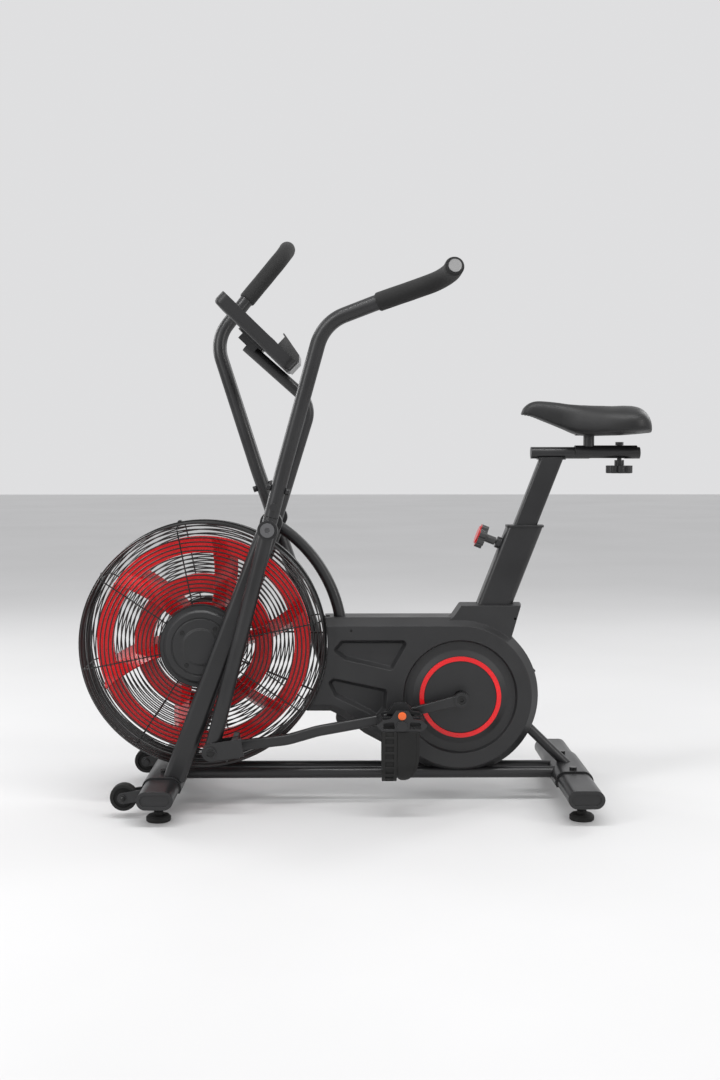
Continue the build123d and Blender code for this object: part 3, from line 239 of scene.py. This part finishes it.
def make_cover_plastic():
    return speckled("cover_plastic", (0.009, 0.009, 0.0095), (0.016, 0.016, 0.017), 0.38,
                    2600, 0.0002, 0.22, edge=0.0015, Specular_IOR_Level=0.45)


def make_wire():
    return speckled("guard_wire", (0.006, 0.006, 0.006), (0.014, 0.014, 0.014), 0.3,
                    900, 0.0001, 0.2)


def make_cap_grey():
    return speckled("grip_cap_grey", (0.20, 0.20, 0.20), (0.30, 0.30, 0.30), 0.5,
                    1800, 0.0002, 0.25)


def make_rubber():
    return speckled("rubber", (0.006, 0.006, 0.006), (0.013, 0.013, 0.0125), 0.66,
                    1200, 0.0003, 0.4, Specular_IOR_Level=0.3)


def make_red(name, dark, light, roughness):
    finish = Finish(name, roughness, Coat_Weight=0.25, Coat_Roughness=0.08, Specular_IOR_Level=0.35)
    broad = finish.noise(14, 3)
    fine = finish.noise(420, 2)
    finish.colour(finish.blend(finish.spread(broad, 0, 1), dark, light))
    finish.rough(fine, roughness - 0.04, roughness + 0.06)
    finish.bump((finish.noise(60, 2), 0.0004, 0.12), (fine, 0.0001, 0.1))
    return finish


def make_steel():
    finish = Finish("turned_steel", 0.3, Metallic=1.0)
    lines = finish.noise(300, 3, stretch=(1, 0.05, 1))
    finish.colour(finish.blend(finish.spread(lines, 0, 1), (0.30, 0.30, 0.31), (0.46, 0.46, 0.47)))
    finish.rough(lines, 0.22, 0.4)
    finish.bump((lines, 0.0001, 0.2))
    return finish


def make_black_bolt():
    return speckled("black_bolt", (0.012, 0.012, 0.012), (0.03, 0.03, 0.03), 0.22,
                    1600, 0.0001, 0.15, Metallic=0.6)


def make_pivot_cap():
    return speckled("pivot_cap", (0.075, 0.075, 0.078), (0.12, 0.12, 0.124), 0.36,
                    1400, 0.0001, 0.2, edge=0.0012, Metallic=0.3)


def make_pulley():
    finish = Finish("cast_pulley", 0.4, Metallic=1.0)
    grain = finish.noise(500, 3)
    finish.colour(finish.blend(finish.spread(grain, 0, 1), (0.42, 0.42, 0.43), (0.58, 0.58, 0.60)))
    finish.rough(grain, 0.3, 0.5)
    finish.bump((grain, 0.0002, 0.25))
    return finish


def make_belt():
    finish = Finish("ribbed_belt", 0.7)
    ribs_and_groove_shade = finish.node("ShaderNodeTexWave", bands_direction="Y")
    ribs_and_groove_shade.inputs["Scale"].default_value = 90
    finish.link(finish.place, ribs_and_groove_shade.inputs["Vector"])
    # The colour follows the rib height, lighter on the crests and darker in the grooves: painted shade in
    # the grooves.
    finish.colour(finish.blend(ribs_and_groove_shade.outputs["Fac"], (0.010, 0.010, 0.010), (0.024, 0.024, 0.024)))
    finish.bump((ribs_and_groove_shade.outputs["Fac"], 0.0006, 0.5))
    return finish


def make_foam():
    """Closed-cell foam: soft, with open pores in its skin, each pore painted darker as painted shade in its
    hollow.
    """
    finish = Finish("grip_foam", 0.8, Sheen_Weight=0.04, Sheen_Roughness=0.6, Specular_IOR_Level=0.35)
    pores_and_pore_shade = finish.cells(1100)
    drift = finish.noise(22, 4)
    tone = finish.blend(finish.spread(drift, 0, 1), (0.007, 0.007, 0.007), (0.015, 0.015, 0.015))
    # Painted shade: the colour darkens towards each pore's middle, where the bump sinks.
    finish.colour(finish.blend(finish.spread(pores_and_pore_shade, 0.45, 0, 0.05, 0.35), tone, (0.004, 0.004, 0.004)))
    finish.rough(drift, 0.7, 0.9)
    finish.bump((pores_and_pore_shade, 0.0005, 0.5), (drift, 0.0015, 0.25))
    return finish


def make_vinyl():
    """Leather-grained vinyl: fine pebbles cut by creases, its roughness drifting slowly from place to
    place.
    """
    finish = Finish("saddle_vinyl", 0.5, Specular_IOR_Level=0.4)
    pebbles_and_gap_shade = finish.cells(620, "SMOOTH_F1")
    creases = finish.cells(190, "DISTANCE_TO_EDGE")
    drift = finish.noise(11, 4)
    tone = finish.blend(finish.spread(drift, 0, 1), (0.008, 0.008, 0.0085), (0.016, 0.016, 0.0165))
    # Painted shade: the colour darkens away from each pebble's middle, in the gaps between the pebbles.
    finish.colour(finish.blend(finish.spread(pebbles_and_gap_shade, 0, 0.5, 0.1, 0.6), tone, (0.005, 0.005, 0.005)))
    finish.rough(drift, 0.40, 0.56)
    finish.bump((pebbles_and_gap_shade, 0.0003, 0.2), (finish.spread(creases, 0, 1, 0, 0.06), 0.0002, 0.15))
    return finish


def make_smoke():
    finish = Finish("smoke_plastic", 0.22, Transmission_Weight=0.35, IOR=1.49)
    drift = finish.noise(30, 3)
    finish.colour(finish.blend(finish.spread(drift, 0, 1), (0.05, 0.05, 0.05), (0.09, 0.09, 0.09)))
    finish.rough(drift, 0.16, 0.3)
    finish.bump((finish.noise(700, 2), 0.0001, 0.1))
    return finish


def make_screen():
    finish = Finish("screen_window", 0.12, Coat_Weight=0.6, Coat_Roughness=0.05)
    drift = finish.noise(18, 3)
    finish.colour(finish.blend(finish.spread(drift, 0, 1), (0.010, 0.011, 0.012), (0.018, 0.019, 0.020)))
    finish.rough(drift, 0.08, 0.18)
    finish.bump((finish.noise(500, 2), 0.00005, 0.1))
    return finish


def make_display():
    """A grey liquid-crystal field with the faint grid of its cells."""
    finish = Finish("display_field", 0.35)
    drift = finish.noise(25, 3)
    cells = finish.cells(420, "DISTANCE_TO_EDGE")
    tone = finish.blend(finish.spread(drift, 0, 1), (0.30, 0.33, 0.28), (0.36, 0.39, 0.33))
    finish.colour(finish.blend(finish.spread(cells, 0.3, 0, 0, 0.08), tone, (0.24, 0.27, 0.23)))
    finish.rough(drift, 0.3, 0.42)
    finish.bump((cells, 0.0001, 0.15))
    return finish


KNOB_LEAN = 21.1  # lean of the seat tube, degrees from upright
KNOB_FACE = 0.0031  # depth of the knob's red outer face


def make_pin_knob():
    """Black grip with a red outer face."""
    finish = Finish("pin_knob", 0.4, Coat_Weight=0.2)
    outwards = Vector((-cos(radians(KNOB_LEAN)), 0, sin(radians(KNOB_LEAN))))
    reach = max(outwards.dot(vertex.co) for vertex in nodes["seat_pin_knob"].data.vertices)
    grain = finish.noise(1500, 2)
    black = finish.blend(finish.spread(grain, 0, 1), (0.016, 0.016, 0.016), (0.034, 0.034, 0.034))
    red = finish.blend(finish.spread(finish.noise(40, 3), 0, 1), (0.42, 0.012, 0.016), (0.56, 0.022, 0.026))
    finish.colour(finish.blend(finish.beyond(outwards, reach - KNOB_FACE), black, red))
    finish.rough(grain, 0.34, 0.48)
    finish.bump((grain, 0.0002, 0.2))
    return finish


def make_orange():
    return speckled("orange_dot", (0.70, 0.10, 0.012), (0.82, 0.15, 0.02), 0.32,
                    900, 0.0002, 0.15, Coat_Weight=0.2)


def make_floor():
    finish = Finish("pale_floor", 0.7)
    drift = finish.noise(0.8, 4)
    finish.colour(finish.blend(finish.spread(drift, 0, 1), (0.62, 0.62, 0.62), (0.66, 0.66, 0.662)))
    finish.bump((finish.noise(160, 3), 0.0005, 0.1))
    return finish


def dress(finish, *names):
    for name in names:
        data = nodes[name].data
        data.materials.clear()
        data.materials.append(finish.material)


def dress_frame(rubber, bolt):
    arms = [side + name for side in BOTH for name in ("lower_arm", "handlebar", "rod")]
    dress(make_powder_coat(), "stabilisers", "base_plates", "base_rails", "uprights", "frame_spine",
          "bottom_bracket", "rear_strut", "wheel_brackets", "seat_tube", "seat_post", "seat_carriage",
          "console_mast", "crank_arms", *arms)
    dress(make_wire(), "left_guard", "right_guard", "guard_rim")
    dress(make_housing_plastic(), "left_housing", "right_housing", "hub_covers")
    dress(make_cover_plastic(), "seat_tube_collar", "stabiliser_end_caps", "seat_clamp_knob",
          "console_case", "left_pedal", "right_pedal")
    dress(make_cap_grey(), "left_grip_cap", "right_grip_cap")
    dress(rubber, "front_left_foot", "front_right_foot", "rear_left_foot", "rear_right_foot",
          "left_transport_wheel", "right_transport_wheel", "console_mode_button", "console_reset_button")
    dress(make_red("fan_red", (0.56, 0.005, 0.009), (0.70, 0.010, 0.014), 0.25), "fan_wheel")
    dress(make_red("trim_red", (0.62, 0.005, 0.009), (0.74, 0.009, 0.013), 0.3), "trim_rings")
    dress(make_steel(), "fan_axle", "fan_hub", "fan_bearings", "pedal_spindles")
    dress(bolt, "crank_axle", "frame_screws")
    dress(make_pivot_cap(), "pivot_axle")
    dress(make_pulley(), "drive_pulley")
    dress(make_belt(), "drive_belt")
    dress(make_smoke(), "console_tray")
    dress(make_screen(), "console_screen")
    dress(make_pin_knob(), "seat_pin_knob")


# ---- Mesh helpers ----
def piece(name, vertices, faces, finish, body, smooth=True):
    """A finished mesh object that rides on a body."""
    data = bpy.data.meshes.new(name)
    data.from_pydata([tuple(v) for v in vertices], [], faces)
    data.validate()
    mesh = bmesh.new()
    mesh.from_mesh(data)
    bmesh.ops.recalc_face_normals(mesh, faces=mesh.faces)
    mesh.to_mesh(data)
    mesh.free()
    for polygon in data.polygons:
        polygon.use_smooth = smooth
    data.materials.append(finish.material)
    made = bpy.data.objects.new(name, data)
    bpy.context.scene.collection.objects.link(made)
    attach(made, body)
    return made


def lofted(rings, close_ends=True):
    """Vertices and faces of a tube through rings of points, with its ends filled."""
    count = len(rings[0])
    vertices = [point for ring in rings for point in ring]
    faces = []
    for row in range(len(rings) - 1):
        for spot in range(count):
            following = (spot + 1) % count
            faces.append((row * count + spot, row * count + following,
                          (row + 1) * count + following, (row + 1) * count + spot))
    if close_ends:
        faces.append(tuple(reversed(range(count))))
        faces.append(tuple(range((len(rings) - 1) * count, len(rings) * count)))
    return vertices, faces


def rounded_path(points, radius, steps=14):
    """The points of a route with its inner corners rounded."""
    route = [Vector(points[0])]
    for before, corner, after in zip(points, points[1:], points[2:]):
        back = (Vector(before) - Vector(corner)).normalized()
        ahead = (Vector(after) - Vector(corner)).normalized()
        half = back.angle(ahead) / 2
        centre = Vector(corner) + (back + ahead).normalized() * radius / sin(half)
        reach = radius / (sin(half) / cos(half))
        first = Vector(corner) + back * reach - centre
        last = Vector(corner) + ahead * reach - centre
        turn = first.angle(last)
        for step in range(steps + 1):
            share = step / steps
            spoke = (first * sin((1 - share) * turn) + last * sin(share * turn)) / sin(turn)
            route.append(centre + spoke)
    route.append(Vector(points[-1]))
    return route


def resampled(route, gap):
    """Points along a route, about gap apart."""
    lengths = [0.0]
    for start, end in zip(route, route[1:]):
        lengths.append(lengths[-1] + (end - start).length)
    count = max(2, round(lengths[-1] / gap))
    spots, segment = [], 0
    for step in range(count + 1):
        target = lengths[-1] * step / count
        while segment < len(route) - 2 and lengths[segment + 1] < target:
            segment += 1
        span = lengths[segment + 1] - lengths[segment]
        spots.append(route[segment].lerp(route[segment + 1], (target - lengths[segment]) / span))
    return spots, lengths[-1]


def mirrored_arm(place):
    """Where a place on the left arm is on the right arm, which stands at the other end of its swing."""
    swing = joints["right_arm_swing"]
    pivot = Vector(swing["pos_m"])
    turn = Matrix.Rotation(radians(-swing["range_deg"][1]), 3, "Y")
    flipped = Vector((place[0], -place[1], place[2]))
    return pivot + turn @ (flipped - pivot)


# ---- Foam grips ----
GRIP_ROUTE = [(0.02344, -0.20518, 1.07641), (0.164, -0.237, 1.122), (0.173, -0.308, 1.1365)]
GRIP_BEND = 0.070
GRIP_RADIUS = 0.0195
GRIP_RING_GAP = 0.002
GRIP_AROUND = 48  # points in a ring
GRIP_LIP = 0.004  # length over which an end rounds off
GRIP_LIP_DROP = 0.0022
GRIP_DENT = 0.0005
DENTS_ALONG = 30
DENTS_AROUND = 0.8
BAR_RADIUS = 0.0161  # the foam's bore


def make_grips(foam):
    """Foam tubes over the bar ends: rounded lips and hand-worn dents."""
    spots, length = resampled(rounded_path(GRIP_ROUTE, GRIP_BEND), GRIP_RING_GAP)
    around = GRIP_AROUND
    for side in BOTH:
        skin, bore = [], []
        for index, spot in enumerate(spots):
            heading = (spots[min(index + 1, len(spots) - 1)] - spots[max(index - 1, 0)]).normalized()
            across = heading.cross(Vector((0, 0, 1))).normalized()
            up = across.cross(heading)
            done = length * index / (len(spots) - 1)
            lip = max(0.0, 1 - min(done, length - done) / GRIP_LIP)
            skin_ring, bore_ring = [], []
            for step in range(around):
                angle = 2 * pi * step / around
                way = across * cos(angle) + up * sin(angle)
                dent = GRIP_DENT * noise.noise(spot * DENTS_ALONG + way * DENTS_AROUND)
                skin_ring.append(spot + way * (GRIP_RADIUS - GRIP_LIP_DROP * lip**2 + dent))
                bore_ring.append(spot + way * BAR_RADIUS)
            skin.append(skin_ring)
            bore.append(bore_ring)
        rings = skin + bore[::-1] + skin[:1]
        if side == "right_":
            rings = [[mirrored_arm(point) for point in ring] for ring in rings]
        vertices, faces = lofted(rings[:-1], close_ends=False)
        last = (len(rings) - 2) * around
        faces += [(s, (s + 1) % around, last + (s + 1) % around, last + s) for s in range(around)]
        grip = piece(side + "foam_grip", vertices, faces, foam, side + "arm")
        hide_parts(side + "grip")


# ---- Saddle ----
# (X, Z) of the top and the bottom edge, and (X, half width), from the nose to the back
SADDLE_TOP = [(0.345, 0.857), (0.350, 0.868), (0.364, 0.8795), (0.384, 0.8835), (0.435, 0.8790),
              (0.493, 0.8740), (0.537, 0.8728), (0.570, 0.8735), (0.594, 0.8710), (0.610, 0.862),
              (0.6195, 0.8475), (0.6235, 0.829)]
SADDLE_BOTTOM = [(0.345, 0.854), (0.367, 0.8495), (0.401, 0.8365), (0.435, 0.8225), (0.466, 0.8105),
                 (0.490, 0.8075), (0.520, 0.8075), (0.560, 0.8085), (0.604, 0.8115), (0.6235, 0.8130)]
SADDLE_HALF = [(0.345, 0.004), (0.348, 0.012), (0.356, 0.019), (0.370, 0.023), (0.400, 0.025),
               (0.430, 0.029), (0.460, 0.042), (0.490, 0.063), (0.520, 0.082), (0.550, 0.094),
               (0.575, 0.098), (0.595, 0.094), (0.610, 0.083), (0.6195, 0.066), (0.6235, 0.045)]
SADDLE_STATIONS = 110
SADDLE_AROUND = 72  # points in a station's ring
WIDE_POWER = 0.72  # below 1 the ring is squarer than an ellipse
UPPER_POWER = 0.9
LOWER_POWER = 0.6
LOWER_SHARE = 0.30  # share of the height that lies under the widest line
UPPER_SHARE = 0.70
CHANNEL_DEPTH = 0.0045
CHANNEL_HALF = 0.016
CHANNEL_START = 0.43  # X where the middle channel begins to sink
CHANNEL_END = 0.622  # X where it has come up again
CHANNEL_RAMPS = (0.06, 0.03)
PLEAT_DEPTH = 0.0007
PLEAT_PITCH = 900  # radians per metre along the nose's lower edge
PLEAT_REACH = 0.09
PLEAT_SIDEWAYS = 12
WRINKLE_DEPTH = 0.0008
WRINKLE_SCALE = (28, 34, 34)


def curve_at(points, x):
    """Smooth interpolation through (x, value) points."""
    for index in range(len(points) - 1):
        (x0, v0), (x1, v1) = points[index], points[index + 1]
        if x <= x1 or index == len(points) - 2:
            before = points[max(index - 1, 0)]
            after = points[min(index + 2, len(points) - 1)]
            slope0 = (v1 - before[1]) / (x1 - before[0])
            slope1 = (after[1] - v0) / (after[0] - x0)
            span = x1 - x0
            t = min(max((x - x0) / span, 0), 1)
            return ((2 * t**3 - 3 * t**2 + 1) * v0 + (t**3 - 2 * t**2 + t) * span * slope0
                    + (3 * t**2 - 2 * t**3) * v1 + (t**3 - t**2) * span * slope1)


def channel_depth(x, y):
    """Depth of the shallow channel along the saddle's middle."""
    ramp_in, ramp_out = CHANNEL_RAMPS
    across = max(0, 1 - (y / CHANNEL_HALF) ** 2)
    rise = min(1, max(0, (x - CHANNEL_START) / ramp_in))
    fall = min(1, max(0, (CHANNEL_END - x) / ramp_out))
    return CHANNEL_DEPTH * across * rise * fall


def make_saddle(vinyl):
    """A crowned shell of padded vinyl with a shallow middle channel and pleats under its nose."""
    rings = []
    start, end = SADDLE_TOP[0][0], SADDLE_TOP[-1][0]
    for row in range(SADDLE_STATIONS + 1):
        x = start + (end - start) * (0.5 - 0.5 * cos(pi * row / SADDLE_STATIONS))
        top, bottom, half = (curve_at(points, x) for points in (SADDLE_TOP, SADDLE_BOTTOM, SADDLE_HALF))
        ring = []
        for step in range(SADDLE_AROUND):
            angle = 2 * pi * step / SADDLE_AROUND
            s, c = sin(angle), cos(angle)
            y = half * (abs(c) ** WIDE_POWER) * (1 if c >= 0 else -1)
            if s >= 0:
                z = bottom + LOWER_SHARE * (top - bottom) + UPPER_SHARE * (top - bottom) * s**UPPER_POWER
                z -= channel_depth(x, y) * s
            else:
                z = bottom + LOWER_SHARE * (top - bottom) * (1 - abs(s) ** LOWER_POWER)
            fade = max(0, 1 - (x - start) / PLEAT_REACH)
            pleat = PLEAT_DEPTH * sin(x * PLEAT_PITCH) * max(0, -s) * fade
            grain = Vector((x * WRINKLE_SCALE[0], y * WRINKLE_SCALE[1], z * WRINKLE_SCALE[2]))
            wrinkle = WRINKLE_DEPTH * noise.noise(grain)
            ring.append(Vector((x, y * (1 + pleat * PLEAT_SIDEWAYS), z + pleat + wrinkle)))
        rings.append(ring)
    vertices, faces = lofted(rings)
    saddle = piece("padded_saddle", vertices, faces, vinyl, "saddle_body")
    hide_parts("saddle")


# ---- Pedal straps ----
STRAP_GAP = 0.0125  # pedal axis to the strap's top
STRAP_DROP = 0.125  # pedal axis to the strap's lowest point
STRAP_HALF = 0.0015  # half of the CAD strap's thickness
STRAP_SPOT_GAP = 0.002
BEND_STEPS = 24
BAND_EDGES = (-0.0415, -0.0105)  # X edges of the notched band, from the pedal axis
BAND_THICKNESS = 0.0024
BAND_CORNER_STEPS = 6
LADDER_LIFT = 0.0022  # how far the ladder stands outside the band
LADDER_THICKNESS = 0.0022
LADDER_RAIL = 0.007  # width of its side rails
LADDER_PITCH = 8  # spots from rung to rung
LADDER_RUNG = 4  # spots that a rung takes
RUNG_THICKNESS = 0.0021
LADDER_OVERLAP = 4  # spots of the ladder past the loop's lowest point
LADDER_PLAIN = (2, 6)  # spots without a rung at its lower and upper end
TONGUE_EDGES = (-0.0165, 0.0365)
TONGUE_LEAN = 0.006  # how far the tongue's end drifts forwards
TONGUE_TIP = 0.0014  # smallest half width of the tongue's end
TONGUE_SHOULDER = 0.068  # pedal axis to where the tongue starts to narrow
TONGUE_STOP = 0.0035  # gap from the loop's lowest point to the tongue's end
TONGUE_SLACK = 0.0005
TONGUE_LAYERS = [  # name, lift outside the loop, inset from the tongue's edge, thickness
    ("strap_tongue", 0.0003, 0.0, 0.0026),
    ("strap_pad", 0.0016, 0.0065, 0.0022),
]


def strap_route(side, way, lift):
    """Middle line of the loop under a pedal, inner side first; lift moves it outwards."""
    low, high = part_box(side + "pedal_strap")
    pin = joints[side + "pedal_spin"]["pos_m"]
    half = (high.y - low.y) / 2 - STRAP_HALF + lift
    middle = (low.y + high.y) / 2
    route = [Vector((pin[0], middle - way * half, pin[2] - STRAP_GAP))]
    bend = Vector((pin[0], middle, low.z + STRAP_HALF - lift + half))
    for step in range(BEND_STEPS + 1):
        angle = pi + pi * step / BEND_STEPS
        route.append(bend + Vector((0, way * half * cos(angle), half * sin(angle))))
    route.append(Vector((pin[0], middle + way * half, pin[2] - STRAP_GAP)))
    return resampled(route, STRAP_SPOT_GAP)[0]


def band(spots, edges, thickness):
    """A strip along spots with rounded edges; edges gives its two X offsets at a spot."""
    rings = []
    for index, spot in enumerate(spots):
        heading = (spots[min(index + 1, len(spots) - 1)] - spots[max(index - 1, 0)]).normalized()
        out = Vector((1, 0, 0)).cross(heading)
        x_low, x_high = edges(spot)
        half = thickness / 2
        ring = []
        for end, inward, start_angle in ((x_high, -half, -pi / 2), (x_low, half, pi / 2)):
            for step in range(BAND_CORNER_STEPS + 1):
                angle = start_angle + pi * step / BAND_CORNER_STEPS
                sideways = Vector((end + inward + cos(angle) * thickness / 2, 0, 0))
                ring.append(spot + sideways + out * (sin(angle) * thickness / 2))
        rings.append(ring)
    return lofted(rings)


def steady(low, high):
    """The edges of a strip that keeps its width."""
    return lambda spot: (low, high)


def round_ended(start_z, end_z, inset):
    """The tongue's edges: full width above start_z, then a half ellipse down to end_z."""
    x_low, x_high = TONGUE_EDGES
    middle = (x_low + x_high) / 2
    half = (x_high - x_low) / 2 - inset

    def edges(spot):
        drop = min(1.0, max(0.0, (start_z - spot.z) / (start_z - end_z)))
        wide = max(half * sqrt(1 - drop**2), TONGUE_TIP)
        return middle - TONGUE_LEAN * drop - wide, middle - TONGUE_LEAN * drop + wide

    return edges


def gathered(parts):
    """Several (vertices, faces) as one."""
    vertices, faces = [], []
    for part_vertices, part_faces in parts:
        base = len(vertices)
        vertices += part_vertices
        faces += [tuple(base + index for index in face) for face in part_faces]
    return vertices, faces


def make_straps(rubbery):
    """For each pedal a closed band with a ladder of notches, and a wide round-ended tongue beside it."""
    low, high = BAND_EDGES
    rails = (steady(low, low + LADDER_RAIL), steady(high - LADDER_RAIL, high))
    rung = steady(low + LADDER_RAIL / 2, high - LADDER_RAIL / 2)
    for side, way in SIDES:
        body = side + "pedal_body"
        loop_mesh = band(strap_route(side, way, 0.0), steady(low, high), BAND_THICKNESS)
        loop = piece(side + "strap_band", *loop_mesh, rubbery, body)
        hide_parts(side + "pedal_strap")
        outer = strap_route(side, way, LADDER_LIFT)
        outer = outer[len(outer) // 2 - LADDER_OVERLAP:]
        parts = [band(outer, rail, LADDER_THICKNESS) for rail in rails]
        for first in range(LADDER_PLAIN[0], len(outer) - LADDER_PLAIN[1], LADDER_PITCH):
            parts.append(band(outer[first:first + LADDER_RUNG], rung, RUNG_THICKNESS))
        piece(side + "strap_ladder", *gathered(parts), rubbery, body)

        top = joints[side + "pedal_spin"]["pos_m"][2]
        for name, lift, inset, thickness in TONGUE_LAYERS:
            start_z = top - TONGUE_SHOULDER
            end_z = top - STRAP_DROP + TONGUE_STOP + inset
            outer = strap_route(side, way, lift)
            outer = [spot for spot in outer[len(outer) // 2:] if spot.z > end_z - TONGUE_SLACK]
            edges = round_ended(start_z, end_z, inset)
            piece(side + name, *band(outer, edges, thickness), rubbery, body)


# ---- Small trim ----
DISC_POINTS = 40
BOLTS = [  # name, joint on its axis, node it sits on, body, radius; a dash stands for the side
    ("rod_nut", "rod_swing", "-rod", "-rod_body", 0.0085),
    ("wheel_nut", "transport_spin", "wheel_brackets", "frame", 0.0055),
]
BOLT_HEIGHT = 0.003
BOLT_CROWN = 0.0018
BOLT_GAP = 0.0003  # between a nut and the face under it
DOT_RADIUS = 0.0086
DOT_HEIGHT = 0.002
DOT_RISE = 0.021  # dot's centre above the pedal axis
DOT_DEPTH = 0.005  # dot's foot inside the pedal's outer face
CONSOLE_NORMAL = (0.6944, 0, 0.7196)  # out of the console's face
CONSOLE_DOWN = (0.7196, 0, -0.6944)  # down along it
PANEL_MARGIN = 0.012
PANEL_CORNER = 0.006
PANEL_CORNER_STEPS = 6
PANEL_LIFT = 0.0002
PANEL_THICKNESS = 0.0003
FLAT = 1e-5  # how far from the face's plane a vertex of that face may be


def disc(place, direction, radius, thickness, crown=0.0005):
    """A round button with a softened edge and a slight crown."""
    along = Vector(direction).normalized()
    across = along.orthogonal().normalized()
    other = along.cross(across)
    rings = []
    edge = min(thickness, radius) * 0.4
    profile = [(radius, 0), (radius, thickness - edge),
               (radius - edge * 0.3, thickness - edge * 0.3), (radius - edge, thickness),
               (radius * 0.5, thickness + crown * 0.8), (radius * 0.02, thickness + crown)]
    for reach, height in profile:
        ring = []
        for step in range(DISC_POINTS):
            angle = 2 * pi * step / DISC_POINTS
            spoke = (across * cos(angle) + other * sin(angle)) * reach
            ring.append(Vector(place) + along * height + spoke)
        rings.append(ring)
    return lofted(rings)


def make_bolts(bolt):
    """Domed nuts on the rod joints and the wheel axles."""
    for side, way in SIDES:
        face = 0 if way < 0 else 1
        for name, joint, node, body, radius in BOLTS:
            x, _, z = joints[side + joint]["pos_m"]
            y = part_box(node.replace("-", side))[face].y - way * BOLT_GAP
            dome = disc((x, y, z), (0, way, 0), radius, BOLT_HEIGHT, BOLT_CROWN)
            nut = piece(side + name, *dome, bolt, body.replace("-", side))


def make_pedal_dots(orange):
    """A plain orange button on the outer end of each pedal."""
    for side, way in SIDES:
        pin = Vector(joints[side + "pedal_spin"]["pos_m"])
        low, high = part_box(side + "pedal")
        face = (low.y + DOT_DEPTH) if way < 0 else (high.y - DOT_DEPTH)
        vertices, faces = disc((pin.x, face, pin.z + DOT_RISE), (0, way, 0), DOT_RADIUS, DOT_HEIGHT)
        piece(side + "pedal_dot", vertices, faces, orange, side + "pedal_body")


def make_display_panel(finish):
    """The display field on the console's window, a thin plate with rounded corners."""
    data = nodes["console_screen"].data
    normal = Vector(CONSOLE_NORMAL)
    down = Vector(CONSOLE_DOWN)
    top = max(normal.dot(v.co) for v in data.vertices)
    face = [v.co for v in data.vertices if normal.dot(v.co) > top - FLAT]
    low_a, high_a = min(down.dot(p) for p in face), max(down.dot(p) for p in face)
    low_b, high_b = min(p.y for p in face), max(p.y for p in face)
    inset = PANEL_MARGIN + PANEL_CORNER
    centres = ((high_a - inset, high_b - inset), (low_a + inset, high_b - inset),
               (low_a + inset, low_b + inset), (high_a - inset, low_b + inset))
    outline = []
    for quarter, (a, b) in enumerate(centres):
        for step in range(PANEL_CORNER_STEPS + 1):
            angle = radians(90 * quarter + 90 * step / PANEL_CORNER_STEPS)
            outline.append((a + PANEL_CORNER * cos(angle), b + PANEL_CORNER * sin(angle)))
    rings = []
    for height in (top + PANEL_LIFT, top + PANEL_LIFT + PANEL_THICKNESS):
        rings.append([normal * height + down * a + Vector((0, b, 0)) for a, b in outline])
    vertices, faces = lofted(rings)
    panel = piece("display_panel", vertices, faces, finish, "frame", smooth=False)


def make_stage():
    """A plain pale floor."""
    bpy.ops.mesh.primitive_grid_add(x_subdivisions=FLOOR_CELLS, y_subdivisions=FLOOR_CELLS, size=FLOOR_SIZE)
    floor = bpy.context.object
    floor.name = "floor"
    floor.data.materials.append(make_floor().material)


make_camera()
make_lights()
make_stage()
shared_rubber = make_rubber()
shared_bolt = make_black_bolt()
dress_frame(shared_rubber, shared_bolt)
make_grips(make_foam())
make_saddle(make_vinyl())
make_straps(shared_rubber)
make_bolts(shared_bolt)
make_pedal_dots(make_orange())
make_display_panel(make_display())
